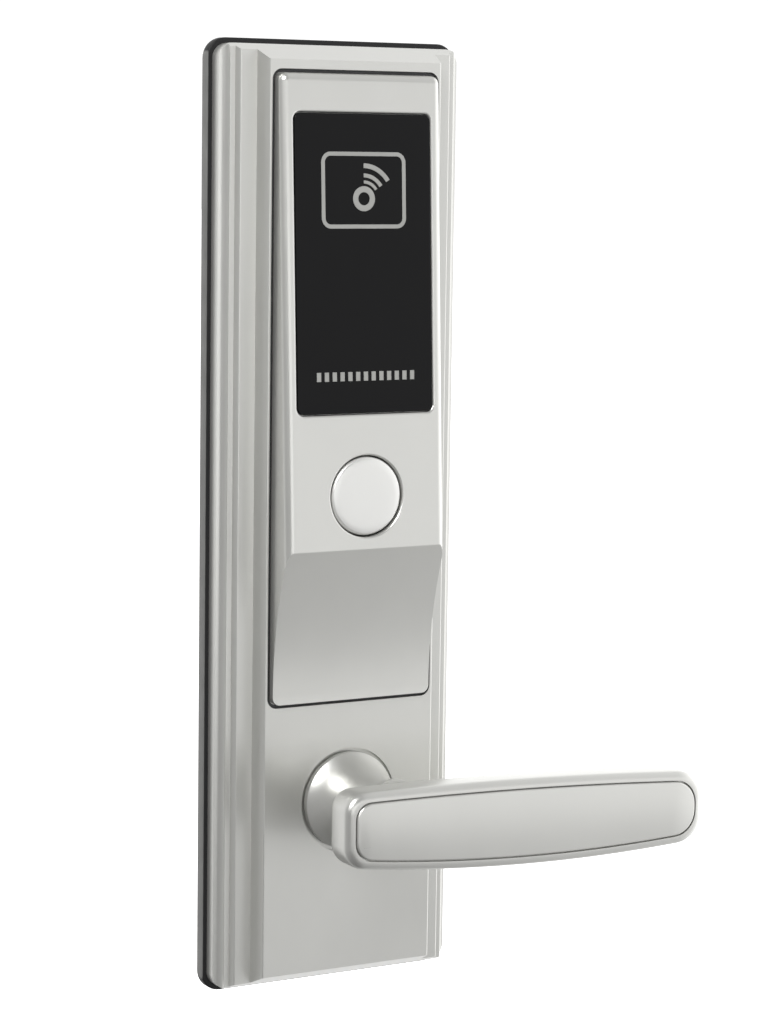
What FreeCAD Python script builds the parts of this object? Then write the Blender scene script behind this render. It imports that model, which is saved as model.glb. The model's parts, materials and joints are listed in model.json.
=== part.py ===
"""Outside half of a card lock: a stepped escutcheon with a reader, a hidden key cylinder and a lever.

Frame, in millimetres: the door face is the plane y = 0, the front faces -Y, +X is to the right
and +Z is up. The origin is the lever's turning axis at the door face. A depth is a distance from
the door face towards the front, so a point at depth d has y = -d.
"""
import FreeCAD, Part
import math
import os
import re

import Sketcher

DIMENSIONS = {
    # escutcheon and its gasket
    "plate_width": 81.4, "plate_top": 228.0, "plate_bottom": -57.0, "plate_corner": 4.5,
    "gasket_lip": 1.7, "gasket_depth": 4.5, "gasket_band": 6.2, "gasket_round": 1.6,
    "flange_depth": 11.0, "flange_round": 2.6, "flange_half": 36.4,
    "step_round": 0.45,
    "terrace_depth": 13.0, "terrace_half": 35.6, "terrace_edge": 30.2,
    "field_depth": 19.0, "field_half": 29.0, "bevel_height": 4.6, "bevel_depth": 9.0,
    "cavity_depth": 16.4, "cavity_half": 27.2, "rim_cavity_depth": 8.6, "rim_cavity_half": 37.2,
    "cavity_margin": 5.0, "boss_radius": 4.0, "post_boss_radius": 5.2, "post_boss_depth": 10.0,
    # steel back plate and what holds it
    "back_plate_depth": 4.3, "back_plate_thick": 1.5, "back_plate_half": 36.0,
    "screw_radius": 1.4, "screw_head_radius": 2.7, "screw_head_height": 1.2,
    "post_radius": 4.0, "post_collar": 4.5,
    "post_reach": 24.0, "post_thread_radius": 2.1, "post_thread_depth": 18.0,
    "post_x": 16.0, "post_low": -42.0, "post_high": 215.5,
    "plate_screw_x": 22.0, "plate_screw_low": -26.0, "plate_screw_mid": 44.0, "plate_screw_high": 215.5,
    # reader housing; the upper face leans back by face_tilt from the break line upwards
    "housing_half": 27.0, "housing_bottom": 31.5, "housing_top": 219.5, "housing_wall": 2.2,
    "housing_corner": 2.4, "groove_width": 1.2, "groove_deep": 1.3, "groove_corner": 3.2,
    "break_height": 78.8, "break_depth": 29.1, "face_tilt": 2.77, "face_round": 2.4,
    "skirt_foot_depth": 20.4, "skirt_radius": 115.0, "skirt_hollow_bottom": 62.0,
    "skirt_hollow_depth": 21.0, "housing_screw_x": 24.0, "housing_screw_low": 106.0,
    "housing_screw_high": 213.6, "housing_boss_radius": 2.7,
    # window, measured along the leaning face from the break line
    "window_half": 23.1, "window_low": 40.4, "window_high": 129.4, "window_corner": 2.2,
    "window_thick": 1.5, "window_gap": 0.15, "window_ledge": 1.8,
    "window_rim": 0.9, "cap_rim": 0.6, "print_thick": 0.12,
    "seal_thick": 0.4, "symbol_half": 14.3, "symbol_low": 95.4, "symbol_high": 118.0,
    "symbol_line": 1.2, "symbol_corner": 3.1, "ring_height": 104.2, "ring_outer": 3.7,
    "ring_inner": 1.95, "wave_first": 4.5, "wave_step": 1.375, "wave_spread": 0.45,
    "wave_line": 0.9, "wave_swell": 0.25, "wave_angle": 57.0,
    "bar_height": 51.6, "bar_tall": 2.7, "bar_wide": 1.4, "bar_pitch": 2.65,
    # electronics behind the window
    "board_half": 24.0, "board_low": 116.5, "board_high": 209.0, "board_depth": 14.8,
    "board_thick": 1.6, "reader_slot_half": 20.5, "reader_slot_low": 119.5,
    "reader_slot_high": 206.0, "board_screw_x": 22.4, "board_screw_low": 128.0,
    "board_screw_high": 206.5, "coil_half": 18.0, "coil_low": 142.0, "coil_high": 203.0,
    "coil_line": 2.2, "coil_thick": 0.4, "chip_side": 9.0, "chip_height": 1.2, "chip_level": 172.0,
    "buzzer_radius": 6.0, "buzzer_height": 4.5, "buzzer_level": 148.0, "led_height": 1.6,
    "socket_width": 12.0, "socket_tall": 6.0, "socket_deep": 5.0, "lead_thick": 0.9,
    "lead_x": 18.0, "lead_depth": 12.2, "lead_width": 8.0, "outlet_level": 66.0,
    "outlet_half_width": 7.0, "outlet_half_height": 4.5, "grommet_lip": 1.6,
    # key cylinder under the round cap
    "cap_height": 94.4, "cap_radius": 11.8, "cap_hole_radius": 12.3,
    "cap_wall": 1.0, "cap_skirt_depth": 21.4, "cap_disc": 1.6, "ring_depth": 22.0,
    "ring_width": 1.5, "ring_reach": 10.45, "cylinder_radius": 9.6, "cylinder_back": 9.0,
    "cylinder_front": 24.6, "cylinder_flange": 13.0, "plug_radius": 6.4, "plug_fit": 0.06,
    "plug_back": 6.6, "keyway_tall": 8.0, "keyway_wide": 2.2, "keyway_deep": 14.0,
    "clip_thick": 0.8, "clip_radius": 8.2, "tail_thick": 1.6, "tail_wide": 6.0,
    "tail_reach": 42.0, "tail_socket": 10.4, "tail_hole_radius": 6.5,
    # lever
    "recess_radius": 16.2, "recess_floor": 17.6, "hub_boss_radius": 16.0, "hub_boss_depth": 14.5,
    "neck_radius": 15.0, "neck_back": 18.0, "neck_shoulder": 20.4, "neck_waist": 9.9,
    "neck_waist_depth": 40.0, "neck_flare": 26.0, "arm_back": 45.0, "arm_front": 57.0,
    "arm_left": -21.2, "arm_right": 105.6, "arm_top": 10.8, "arm_top_end": 6.2,
    "arm_low": -11.4, "arm_low_end": -15.6, "arm_left_corner": 5.0, "arm_right_corner": 7.0,
    "arm_top_bow": 1500.0, "arm_low_bow": 620.0, "arm_round": 2.6, "arm_back_round": 3.0,
    "inlay_margin": 2.7, "inlay_gap": 0.4, "inlay_sunk": 1.4, "inlay_proud": 0.3,
    "inlay_round": 0.5, "grub_radius": 2.5, "grub_length": 5.0, "grub_depth": 23.6,
    "sleeve_radius": 9.5, "sleeve_bore": 7.6, "sleeve_front": 29.0, "sleeve_back": 4.9,
    "bush_radius": 10.9, "bush_fit": 0.06, "bush_flange": 12.0, "bush_flange_thick": 0.9,
    "stop_thick": 0.9, "stop_radius": 11.6, "stop_reach": 15.0, "stop_lug_half": 2.4,
    "stop_pin_radius": 1.5, "stop_pin_orbit": 13.6, "lever_travel": 50.0, "stop_angle": 18.0,
    "spring_radius": 10.9, "spring_wire": 0.6, "spring_coils": 2.0, "spring_pitch": 1.3,
    "spring_front": 12.3,
    # spindle and clutch
    "driver_radius": 7.54, "driver_front": 13.0, "driver_back": 3.2, "spindle_side": 8.0,
    "spindle_reach": 60.0, "spindle_front": 12.0, "keeper_thick": 1.2, "keeper_radius": 12.5,
    "keeper_bore": 6.3, "keeper_screw_orbit": 10.6, "hub_hole_radius": 8.4,
    "clutch_depth": 6.6, "pin_radius": 1.2, "pin_fit": 0.05, "pin_tip": 7.8, "pin_head": 13.3,
    "pin_head_radius": 1.5, "pin_head_thick": 0.8, "pin_pocket_radius": 1.6,
    "pin_pocket_floor": 4.6, "shoe_inner": 13.8, "shoe_outer": 16.8,
    "shoe_thick": 1.6, "shoe_before": 9.0, "shoe_after": 60.0, "yoke_half": 3.0,
    "nut_low": 24.0, "nut_high": 31.0, "nut_half": 4.0,
    "screw_axis_depth": 9.6, "nut_bore": 1.6, "clutch_screw_radius": 1.3, "clutch_screw_low": 20.5,
    "motor_radius": 4.0, "motor_low": 36.0, "motor_high": 52.0, "cradle_half": 6.5,
    "strap_thick": 0.8, "guide_radius": 1.2, "guide_x": 5.6, "guide_level": 26.5,
}

doc = FreeCAD.newDocument("card_reader")
sheet = doc.addObject("Spreadsheet::Sheet", "dims")
for row, (alias, number) in enumerate(DIMENSIONS.items(), start=1):
    cell = f"B{row}"
    sheet.set(f"A{row}", alias)
    sheet.set(cell, str(number))
    sheet.setAlias(cell, alias)
doc.recompute()

NODES = []


def bound(text):
    """Give an expression with its sheet names in full, such as dims.plate_width / 2."""
    return re.sub(r"\b[a-z]+_[a-z_]+\b", lambda word: "dims." + word.group(0), str(text))


def value(text):
    """Work out an expression from the sheet's present numbers."""
    return float(sheet.evalExpression(str(text)))


def bind(thing, **expressions):
    """Bind properties of an object to expressions; two underscores in a name stand for a dot."""
    for name, text in expressions.items():
        thing.setExpression(name.replace("__", "."), bound(text))


def node(thing, label):
    """Name a finished sub-part and list it for export."""
    thing.Label = label
    NODES.append(thing)
    return thing


# --- primitives and booleans -------------------------------------------------------------------

def place(thing, x="0", y="0", z="0"):
    """Bind where an object stands."""
    bind(thing, Placement__Base__x=x, Placement__Base__y=y, Placement__Base__z=z)
    return thing


def box(left, right, back, front, low, high):
    """A box between two x values, two depths and two heights."""
    block = doc.addObject("Part::Box", "box")
    bind(block, Length=f"({right}) - ({left})", Width=f"({front}) - ({back})", Height=f"({high}) - ({low})")
    return place(block, left, f"-({front})", low)


def rod(radius, x, z, back, front):
    """A cylinder along Y between two depths."""
    cylinder = doc.addObject("Part::Cylinder", "rod")
    bind(cylinder, Radius=radius, Height=f"({front}) - ({back})")
    cylinder.Placement.Rotation = FreeCAD.Rotation(FreeCAD.Vector(1, 0, 0), 90)
    return place(cylinder, x, f"-({back})", z)


def upright(radius, x, depth, low, high):
    """A cylinder along Z between two heights."""
    cylinder = doc.addObject("Part::Cylinder", "upright")
    bind(cylinder, Radius=radius, Height=f"({high}) - ({low})")
    return place(cylinder, x, f"-({depth})", low)


def fuse(*shapes):
    """One solid from shapes that meet."""
    joined = doc.addObject("Part::MultiFuse", "fuse")
    joined.Shapes = list(shapes)
    return joined


def cut(base, *tools):
    """The base with the tools taken away."""
    left = doc.addObject("Part::Cut", "cut")
    left.Base = base
    left.Tool = tools[0] if len(tools) == 1 else fuse(*tools)
    return left


def common(base, tool):
    """What two shapes share."""
    shared = doc.addObject("Part::Common", "common")
    shared.Base = base
    shared.Tool = tool
    return shared


def bundle(shapes):
    """Separate equal solids kept in one node."""
    together = doc.addObject("Part::Compound", "bundle")
    together.Links = list(shapes)
    return together


def tube(outer, inner, x, z, back, front):
    """A round ring or tube along Y."""
    return cut(rod(outer, x, z, back, front), rod(inner, x, z, f"({back}) - 1", f"({front}) + 1"))


# --- sketches and bodies -----------------------------------------------------------------------

def new_body(label):
    """An empty body, listed as a sub-part."""
    return node(doc.addObject("PartDesign::Body", "body"), label)


def new_sketch(body, plane, height="0", tilted=False):
    """A sketch on one of the body's origin planes; on XZ_Plane its height is a depth."""
    sketch = body.newObject("Sketcher::SketchObject", "sketch")
    support = next(feature for feature in body.Origin.OriginFeatures if feature.Role == plane)
    sketch.AttachmentSupport = [(support, "")]
    sketch.MapMode = "FlatFace"
    if tilted:
        lean = FreeCAD.Rotation(FreeCAD.Vector(-1, 0, 0), 1)
        sketch.AttachmentOffset = FreeCAD.Placement(FreeCAD.Vector(), lean)
        bind(sketch, AttachmentOffset__Rotation__Angle="face_tilt",
             AttachmentOffset__Base__y="break_height", AttachmentOffset__Base__z="break_depth")
    else:
        bind(sketch, AttachmentOffset__Base__z=height)
    return sketch


def pin_point(sketch, index, end, x, y):
    """Fix one end of a sketch element at bound coordinates."""
    for kind, text in (("DistanceX", x), ("DistanceY", y)):
        number = sketch.addConstraint(Sketcher.Constraint(kind, -1, 1, index, end, value(text)))
        sketch.setExpression(f"Constraints[{number}]", bound(text))


def circle(sketch, x, y, radius):
    """A circle at bound coordinates."""
    centre = FreeCAD.Vector(value(x), value(y), 0)
    index = sketch.addGeometry(Part.Circle(centre, FreeCAD.Vector(0, 0, 1), value(radius)))
    pin_point(sketch, index, 3, x, y)
    number = sketch.addConstraint(Sketcher.Constraint("Radius", index, value(radius)))
    sketch.setExpression(f"Constraints[{number}]", bound(radius))


def arc_between(start, finish, radius, anticlockwise):
    """The short arc of a radius from start to finish, as geometry that a sketch takes."""
    chord = finish - start
    middle = (start + finish) * 0.5
    rise = math.sqrt(max(radius**2 - (chord.Length / 2) ** 2, 0.0))
    side = FreeCAD.Vector(-chord.y, chord.x, 0).normalize() * rise
    centre = middle + side if anticlockwise else middle - side
    first, last = (start, finish) if anticlockwise else (finish, start)
    angles = [math.atan2(point.y - centre.y, point.x - centre.x) for point in (first, last)]
    if angles[1] < angles[0]:
        angles[1] += 2 * math.pi
    full = Part.Circle(centre, FreeCAD.Vector(0, 0, 1), radius)
    return Part.ArcOfCircle(full, angles[0], angles[1])


def outline(sketch, corners):
    """A closed outline. Each corner is (x, y), or (x, y, radius, way) where an arc leads to it.

    The way is "left" for an arc that turns left as it is followed, and "right" for the other.
    """
    points = [FreeCAD.Vector(value(corner[0]), value(corner[1]), 0) for corner in corners]
    first_index = None
    last_end = None
    for number, corner in enumerate(corners):
        start, finish = points[number - 1], points[number]
        begin_end, finish_end = 1, 2
        if len(corner) == 2:
            index = sketch.addGeometry(Part.LineSegment(start, finish))
        else:
            turns_left = corner[3] == "left"
            index = sketch.addGeometry(arc_between(start, finish, value(corner[2]), turns_left))
            if not turns_left:
                begin_end, finish_end = 2, 1
        if last_end is None:
            first_index = (index, begin_end)
        else:
            sketch.addConstraint(Sketcher.Constraint("Coincident", *last_end, index, begin_end))
        last_end = (index, finish_end)
        pin_point(sketch, index, finish_end, corner[0], corner[1])
        if len(corner) > 2:
            number = sketch.addConstraint(Sketcher.Constraint("Radius", index, value(corner[2])))
            sketch.setExpression(f"Constraints[{number}]", bound(corner[2]))
    sketch.addConstraint(Sketcher.Constraint("Coincident", *last_end, *first_index))


def rectangle(sketch, left, right, low, high, corner=None):
    """A rectangle, with round corners where a corner radius is given."""
    if corner is None:
        outline(sketch, [(left, low), (right, low), (right, high), (left, high)])
        return
    near, far = f"({left}) + {corner}", f"({right}) - {corner}"
    bottom, top = f"({low}) + {corner}", f"({high}) - {corner}"
    outline(sketch, [
        (near, low, corner, "left"), (far, low),
        (right, bottom, corner, "left"), (right, top),
        (far, high, corner, "left"), (near, high),
        (left, top, corner, "left"), (left, bottom),
    ])


def pad(body, sketch, length, sides="One side", reverse=False):
    """Add material from a sketch."""
    feature = body.newObject("PartDesign::Pad", "pad")
    feature.Profile = sketch
    feature.SideType = sides
    feature.Reversed = reverse
    bind(feature, Length=length)
    doc.recompute()
    return feature


def pocket(body, sketch, length, sides="One side", towards_front=False):
    """Take material away from a sketch, and make sure that some went."""
    before = body.Shape.Volume
    feature = body.newObject("PartDesign::Pocket", "pocket")
    feature.Profile = sketch
    feature.SideType = sides
    feature.Reversed = towards_front
    bind(feature, Length=length)
    doc.recompute()
    if body.Shape.Volume >= before:
        raise RuntimeError(f"a pocket of {body.Label} cuts nothing")
    return feature


def revolve(body, sketch):
    """Turn a profile of the XY plane all round the Y axis."""
    feature = body.newObject("PartDesign::Revolution", "revolution")
    feature.Profile = sketch
    feature.ReferenceAxis = (sketch, ["V_Axis"])
    feature.Angle = 360
    doc.recompute()
    return feature


def edges_at(feature, keep):
    """The names of a feature's edges whose ends and middle pass a test."""
    names = []
    for number, edge in enumerate(feature.Shape.Edges, start=1):
        middle = edge.valueAt((edge.FirstParameter + edge.LastParameter) / 2)
        points = [corner.Point for corner in edge.Vertexes] + [middle]
        if all(keep(point) for point in points):
            names.append(f"Edge{number}")
    return names


def round_edges(body, radius, keep):
    """Round the edges of the body's last feature that pass a test."""
    last = body.Tip
    feature = body.newObject("PartDesign::Fillet", "fillet")
    feature.Base = (last, edges_at(last, keep))
    bind(feature, Radius=radius)
    doc.recompute()
    return feature


def holes(body, spots, radius, height, length, towards_front=False):
    """Round holes of one radius at several places."""
    sketch = new_sketch(body, "XZ_Plane", height)
    for x, z in spots:
        circle(sketch, x, z, radius)
    pocket(body, sketch, length, towards_front=towards_front)


def bosses(body, spots, radius, low_depth, high_depth):
    """Round bosses between two depths."""
    sketch = new_sketch(body, "XZ_Plane", low_depth)
    for x, z in spots:
        circle(sketch, x, z, radius)
    pad(body, sketch, f"({high_depth}) - ({low_depth})")


def both_sides(x, *levels):
    """The same heights on the right and on the left."""
    return [(sign + x, level) for level in levels for sign in ("", "-")]


POSTS = both_sides("post_x", "post_low", "post_high")
PLATE_SCREWS = both_sides("plate_screw_x", "plate_screw_low", "plate_screw_mid")
PLATE_SCREWS.append(("0", "plate_screw_high"))
HOUSING_SCREWS = both_sides("housing_screw_x", "housing_screw_low", "housing_screw_high")
BOARD_SCREWS = both_sides("board_screw_x", "board_screw_low", "board_screw_high")
KEEPER_SCREWS = [("keeper_screw_orbit", "0"), ("-keeper_screw_orbit", "0")]


# --- escutcheon --------------------------------------------------------------------------------

def make_gasket():
    """A rubber band that shows as a dark line between the escutcheon and the door."""
    body = new_body("back_gasket")
    sketch = new_sketch(body, "XZ_Plane")
    half = "(plate_width / 2 + gasket_lip)"
    low, high = "plate_bottom - gasket_lip", "plate_top + gasket_lip"
    rectangle(sketch, f"-{half}", half, low, high, "(plate_corner + gasket_lip)")
    inner = f"({half} - gasket_band)"
    rectangle(sketch, f"-{inner}", inner, f"{low} + gasket_band", f"{high} - gasket_band", "gasket_band / 2")
    pad(body, sketch, "gasket_depth")
    reach = value("plate_width / 2 + gasket_lip - gasket_band") + 1
    top, bottom = value("plate_top - gasket_band") + 4, value("plate_bottom + gasket_band") - 4
    round_edges(body, "gasket_round", lambda point: abs(point.y) < 0.01 and (
        abs(point.x) > reach or point.z > top or point.z < bottom))


def plate_half_profile(sign):
    """One side of the escutcheon's cross-section, from the back to the middle of the field."""
    edge = "plate_width / 2"
    corners = [
        (edge, "-gasket_depth"), (edge, "-(flange_depth - flange_round)"),
        (f"{edge} - flange_round", "-flange_depth"), ("flange_half", "-flange_depth"),
        ("terrace_half", "-terrace_depth"), ("terrace_edge", "-terrace_depth"),
        ("field_half", "-field_depth"),
    ]
    return [(f"{sign}({x})", y) for x, y in corners]


def make_escutcheon():
    """The cast plate: a stepped section, bevelled at both ends and hollow behind."""
    body = new_body("escutcheon_plate")
    sketch = new_sketch(body, "XY_Plane", "plate_bottom")
    left, right = plate_half_profile("-"), plate_half_profile("")
    left[2] = left[2] + ("flange_round", "right")
    right = list(reversed(right))
    right[5] = right[5] + ("flange_round", "right")
    outline(sketch, left + right)
    pad(body, sketch, "plate_top - plate_bottom")
    steps = ((value("terrace_half"), value("terrace_depth")), (value("field_half"), value("field_depth")))
    round_edges(body, "step_round", lambda point: any(
        abs(abs(point.x) - half) < 0.01 and abs(point.y + depth) < 0.01 for half, depth in steps))

    ends = new_sketch(body, "YZ_Plane")
    for end, inward in (("plate_top", "-"), ("plate_bottom", "+")):
        beyond = "-" if inward == "+" else "+"
        outline(ends, [
            ("-bevel_depth", end), ("-(field_depth + 1)", f"{end} {beyond} 1"),
            ("-(field_depth + 1)", f"{end} {inward} bevel_height * 1.1"),
        ])
    pocket(body, ends, "plate_width + 2", "Symmetric")

    trim = new_sketch(body, "XZ_Plane", "field_depth + 1")
    edge = "(plate_width / 2)"
    rectangle(trim, f"-{edge} - 2", f"{edge} + 2", "plate_bottom - 2", "plate_top + 2")
    rectangle(trim, f"-{edge}", edge, "plate_bottom", "plate_top", "plate_corner")
    pocket(body, trim, "field_depth + 2")

    groove = new_sketch(body, "XZ_Plane", "field_depth + 1")
    rectangle(groove, "-(housing_half + groove_width)", "housing_half + groove_width",
              "housing_bottom - groove_width", "housing_top + groove_width", "groove_corner")
    rectangle(groove, "-housing_half", "housing_half", "housing_bottom", "housing_top", "housing_corner")
    pocket(body, groove, "groove_deep + 1")

    for half, depth in (("cavity_half", "cavity_depth"), ("rim_cavity_half", "rim_cavity_depth")):
        hollow = new_sketch(body, "XZ_Plane", "gasket_depth")
        low, high = "plate_bottom + cavity_margin", "plate_top - cavity_margin"
        rectangle(hollow, f"-{half}", half, low, high)
        pocket(body, hollow, f"{depth} - gasket_depth", towards_front=True)

    inner_face = "cavity_depth + 0.1"
    bosses(body, PLATE_SCREWS, "boss_radius", "back_plate_depth", inner_face)
    bosses(body, POSTS, "post_boss_radius", "post_boss_depth", inner_face)
    bosses(body, [("0", "0")], "hub_boss_radius", "hub_boss_depth", inner_face)
    bosses(body, [("0", "cap_height")], "cylinder_flange", "hub_boss_depth", inner_face)

    holes(body, [("0", "0")], "recess_radius", "field_depth + 1", "field_depth + 1 - recess_floor")
    holes(body, [("0", "0")], "bush_radius", "field_depth", "field_depth")
    holes(body, [("0", "cap_height")], "cylinder_radius", "field_depth + 1", "field_depth")
    holes(body, PLATE_SCREWS, "screw_radius", "0", "cavity_depth - 2", towards_front=True)
    holes(body, HOUSING_SCREWS, "screw_radius", "0", "field_depth + 1", towards_front=True)
    holes(body, BOARD_SCREWS, "screw_radius", "0", "field_depth - 0.6", towards_front=True)
    holes(body, POSTS, "post_collar", "0", "cavity_depth - 1", towards_front=True)

    slot = new_sketch(body, "XZ_Plane", "field_depth + 1")
    rectangle(slot, "-reader_slot_half", "reader_slot_half", "reader_slot_low", "reader_slot_high")
    pocket(body, slot, "field_depth")


def make_back_plate():
    """The steel sheet that closes the escutcheon from behind."""
    body = new_body("back_plate")
    front = "back_plate_depth"
    sketch = new_sketch(body, "XZ_Plane", f"{front} - back_plate_thick")
    low, high = "plate_bottom + cavity_margin", "plate_top - cavity_margin"
    rectangle(sketch, "-back_plate_half", "back_plate_half", low, high, "gasket_band / 2")
    pad(body, sketch, "back_plate_thick")
    holes(body, [("0", "0")], "hub_hole_radius", "field_depth", "field_depth")
    holes(body, [("0", "cap_height")], "tail_hole_radius", "field_depth", "field_depth")
    holes(body, PLATE_SCREWS, "screw_radius", "field_depth", "field_depth")
    holes(body, POSTS, "post_collar", "field_depth", "field_depth")
    holes(body, KEEPER_SCREWS, "screw_radius", "field_depth", "field_depth")
    outlet = new_sketch(body, "XZ_Plane", "field_depth")
    wide, tall = "outlet_half_width", "outlet_half_height"
    rectangle(outlet, f"-{wide}", wide, f"outlet_level - {tall}", f"outlet_level + {tall}")
    pocket(body, outlet, "field_depth")


def screw(x, z, head_depth, tip_depth):
    """A pan-head screw driven towards the front, its head resting at a depth."""
    head = rod("screw_head_radius", x, z, f"({head_depth}) - screw_head_height", head_depth)
    shank = rod("screw_radius", x, z, head_depth, tip_depth)
    slot = rod("screw_radius * 0.55", x, z, f"({head_depth}) - screw_head_height - 1",
               f"({head_depth}) - screw_head_height / 2")
    return cut(fuse(head, shank), slot)


def screws(label, spots, head_depth, tip_depth):
    """Equal screws kept in one node."""
    node(bundle([screw(x, z, head_depth, tip_depth) for x, z in spots]), label)


def make_fixing_posts():
    """Threaded posts that reach into the door and take bolts from the inside half."""
    posts = []
    for x, z in POSTS:
        post = fuse(rod("post_radius", x, z, "-post_reach", "0"),
                    rod("post_collar", x, z, "0", "cavity_depth - 1"))
        posts.append(cut(post, rod("post_thread_radius", x, z, "-post_reach - 1",
                                   "-post_reach + post_thread_depth")))
    node(bundle(posts), "fixing_posts")


# --- reader housing and window -----------------------------------------------------------------

def make_housing():
    """The raised reader housing: a leaning face above a skirt that sweeps in to the plate."""
    body = new_body("reader_housing")
    sketch = new_sketch(body, "YZ_Plane")
    top_depth = "(break_depth - (housing_top - break_height) * tan(face_tilt))"
    outline(sketch, [
        ("-field_depth", "housing_bottom"), ("-skirt_foot_depth", "housing_bottom"),
        ("-break_depth", "break_height", "skirt_radius", "left"),
        (f"-{top_depth}", "housing_top"), ("-field_depth", "housing_top"),
    ])
    pad(body, sketch, "housing_half * 2", "Symmetric")
    half, top, foot = value("housing_half"), value("housing_top"), value("housing_bottom")
    break_height = value("break_height")
    round_edges(body, "housing_corner", lambda point: abs(abs(point.x) - half) < 0.01 and (
        abs(point.z - top) < 0.01 or abs(point.z - foot) < 0.01))
    field = value("field_depth")
    round_edges(body, "face_round", lambda point: point.y < -field - 0.5 and (
        abs(abs(point.x) - half) < 0.01 and point.z > break_height - 0.01 or point.z > top - 0.01)
        and (abs(abs(point.x) - half) < 0.01 or abs(point.x) < half))

    hollow = new_sketch(body, "YZ_Plane")
    break_inner = "(break_depth - housing_wall)"
    outline(hollow, [
        ("-field_depth + 1", "skirt_hollow_bottom"), ("-skirt_hollow_depth", "skirt_hollow_bottom"),
        (f"-{break_inner}", "break_height"),
        (f"-({top_depth} - housing_wall)", "housing_top - housing_wall"),
        ("-field_depth + 1", "housing_top - housing_wall"),
    ])
    pocket(body, hollow, "(housing_half - housing_wall) * 2", "Symmetric")
    bosses(body, HOUSING_SCREWS, "housing_boss_radius", "field_depth", "field_depth + 1.5")
    holes(body, HOUSING_SCREWS, "screw_radius", "0", "field_depth + 1.2", towards_front=True)

    for inset, depth in (("0", "window_thick"), ("window_ledge", "housing_wall + 4")):
        seat = new_sketch(body, "XZ_Plane", "0", tilted=True)
        rectangle(seat, f"-(window_half - {inset})", f"window_half - {inset}",
                  f"window_low + {inset}", f"window_high - {inset}", "window_corner")
        pocket(body, seat, depth)
    slope = math.tan(math.radians(value("face_tilt")))
    window_half, window_foot = value("window_half"), break_height + value("window_low") - 1
    break_depth = value("break_depth")

    def on_slope(point):
        return abs(point.y + break_depth - (point.z - break_height) * slope) < 0.02

    round_edges(body, "window_rim", lambda point: (
        on_slope(point) and abs(point.x) < window_half + 0.05 and point.z > window_foot))
    holes(body, [("0", "cap_height")], "cap_hole_radius", "break_depth + 1", "break_depth - field_depth")
    cap_height, cap_reach = value("cap_height"), value("cap_hole_radius") + 0.1
    round_edges(body, "cap_rim", lambda point: (
        on_slope(point) and math.hypot(point.x, point.z - cap_height) < cap_reach))


def on_face(thing):
    """Stand an object on the leaning face: its y = 0 plane is the face, its z = 0 the break line."""
    thing.Placement.Rotation = FreeCAD.Rotation(FreeCAD.Vector(-1, 0, 0), 1)
    bind(thing, Placement__Rotation__Angle="face_tilt", Placement__Base__y="-break_depth",
         Placement__Base__z="break_height")
    return thing


def face_plate(label, inset, depth_back, depth_front):
    """A rounded plate of the window's outline, between two depths over the leaning face."""
    body = on_face(new_body(label))
    sketch = new_sketch(body, "XZ_Plane", depth_back)
    rectangle(sketch, f"-(window_half - {inset})", f"window_half - {inset}",
              f"window_low + {inset}", f"window_high - {inset}", "window_corner")
    pad(body, sketch, f"({depth_front}) - ({depth_back})")
    return body


def make_window():
    """The dark window and the thin seal that bonds it to its ledge."""
    face_plate("reader_window", "window_gap", "-(window_thick - seal_thick)", "0")
    seal = face_plate("window_seal", "window_gap", "-window_thick", "-(window_thick - seal_thick)")
    inner = new_sketch(seal, "XZ_Plane", "0")
    rectangle(inner, "-(window_half - window_ledge)", "window_half - window_ledge",
              "window_low + window_ledge", "window_high - window_ledge", "window_corner")
    pocket(seal, inner, "window_thick * 2")


def make_symbol():
    """A plain contactless mark in print: a frame, a ring and three waves."""
    body = on_face(new_body("card_symbol"))
    sketch = new_sketch(body, "XZ_Plane")
    rectangle(sketch, "-symbol_half", "symbol_half", "symbol_low", "symbol_high", "symbol_corner")
    rectangle(sketch, "-symbol_half + symbol_line", "symbol_half - symbol_line",
              "symbol_low + symbol_line", "symbol_high - symbol_line",
              "(symbol_corner - symbol_line)")
    circle(sketch, "0", "ring_height", "ring_outer")
    circle(sketch, "0", "ring_height", "ring_inner")
    for count in range(3):
        inner = f"(wave_first + {count} * (wave_step + {count} * wave_spread))"
        outer = f"({inner} + wave_line + {count} * wave_swell)"
        across, up = "sin(wave_angle)", "cos(wave_angle)"
        outline(sketch, [
            ("0", f"ring_height + {inner}", inner, "left"), ("0", f"ring_height + {outer}"),
            (f"{outer} * {across}", f"ring_height + {outer} * {up}", outer, "right"),
            (f"{inner} * {across}", f"ring_height + {inner} * {up}"),
        ])
    pad(body, sketch, "print_thick")


def make_indicator_bars():
    """The row of small light bars near the window's lower edge."""
    body = on_face(new_body("indicator_bars"))
    sketch = new_sketch(body, "XZ_Plane")
    count = 13
    for number in range(count):
        middle = f"bar_pitch * {number - count // 2}"
        rectangle(sketch, f"{middle} - bar_wide / 2", f"{middle} + bar_wide / 2",
                  "bar_height - bar_tall / 2", "bar_height + bar_tall / 2")
    pad(body, sketch, "print_thick")


# --- electronics -------------------------------------------------------------------------------

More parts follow.
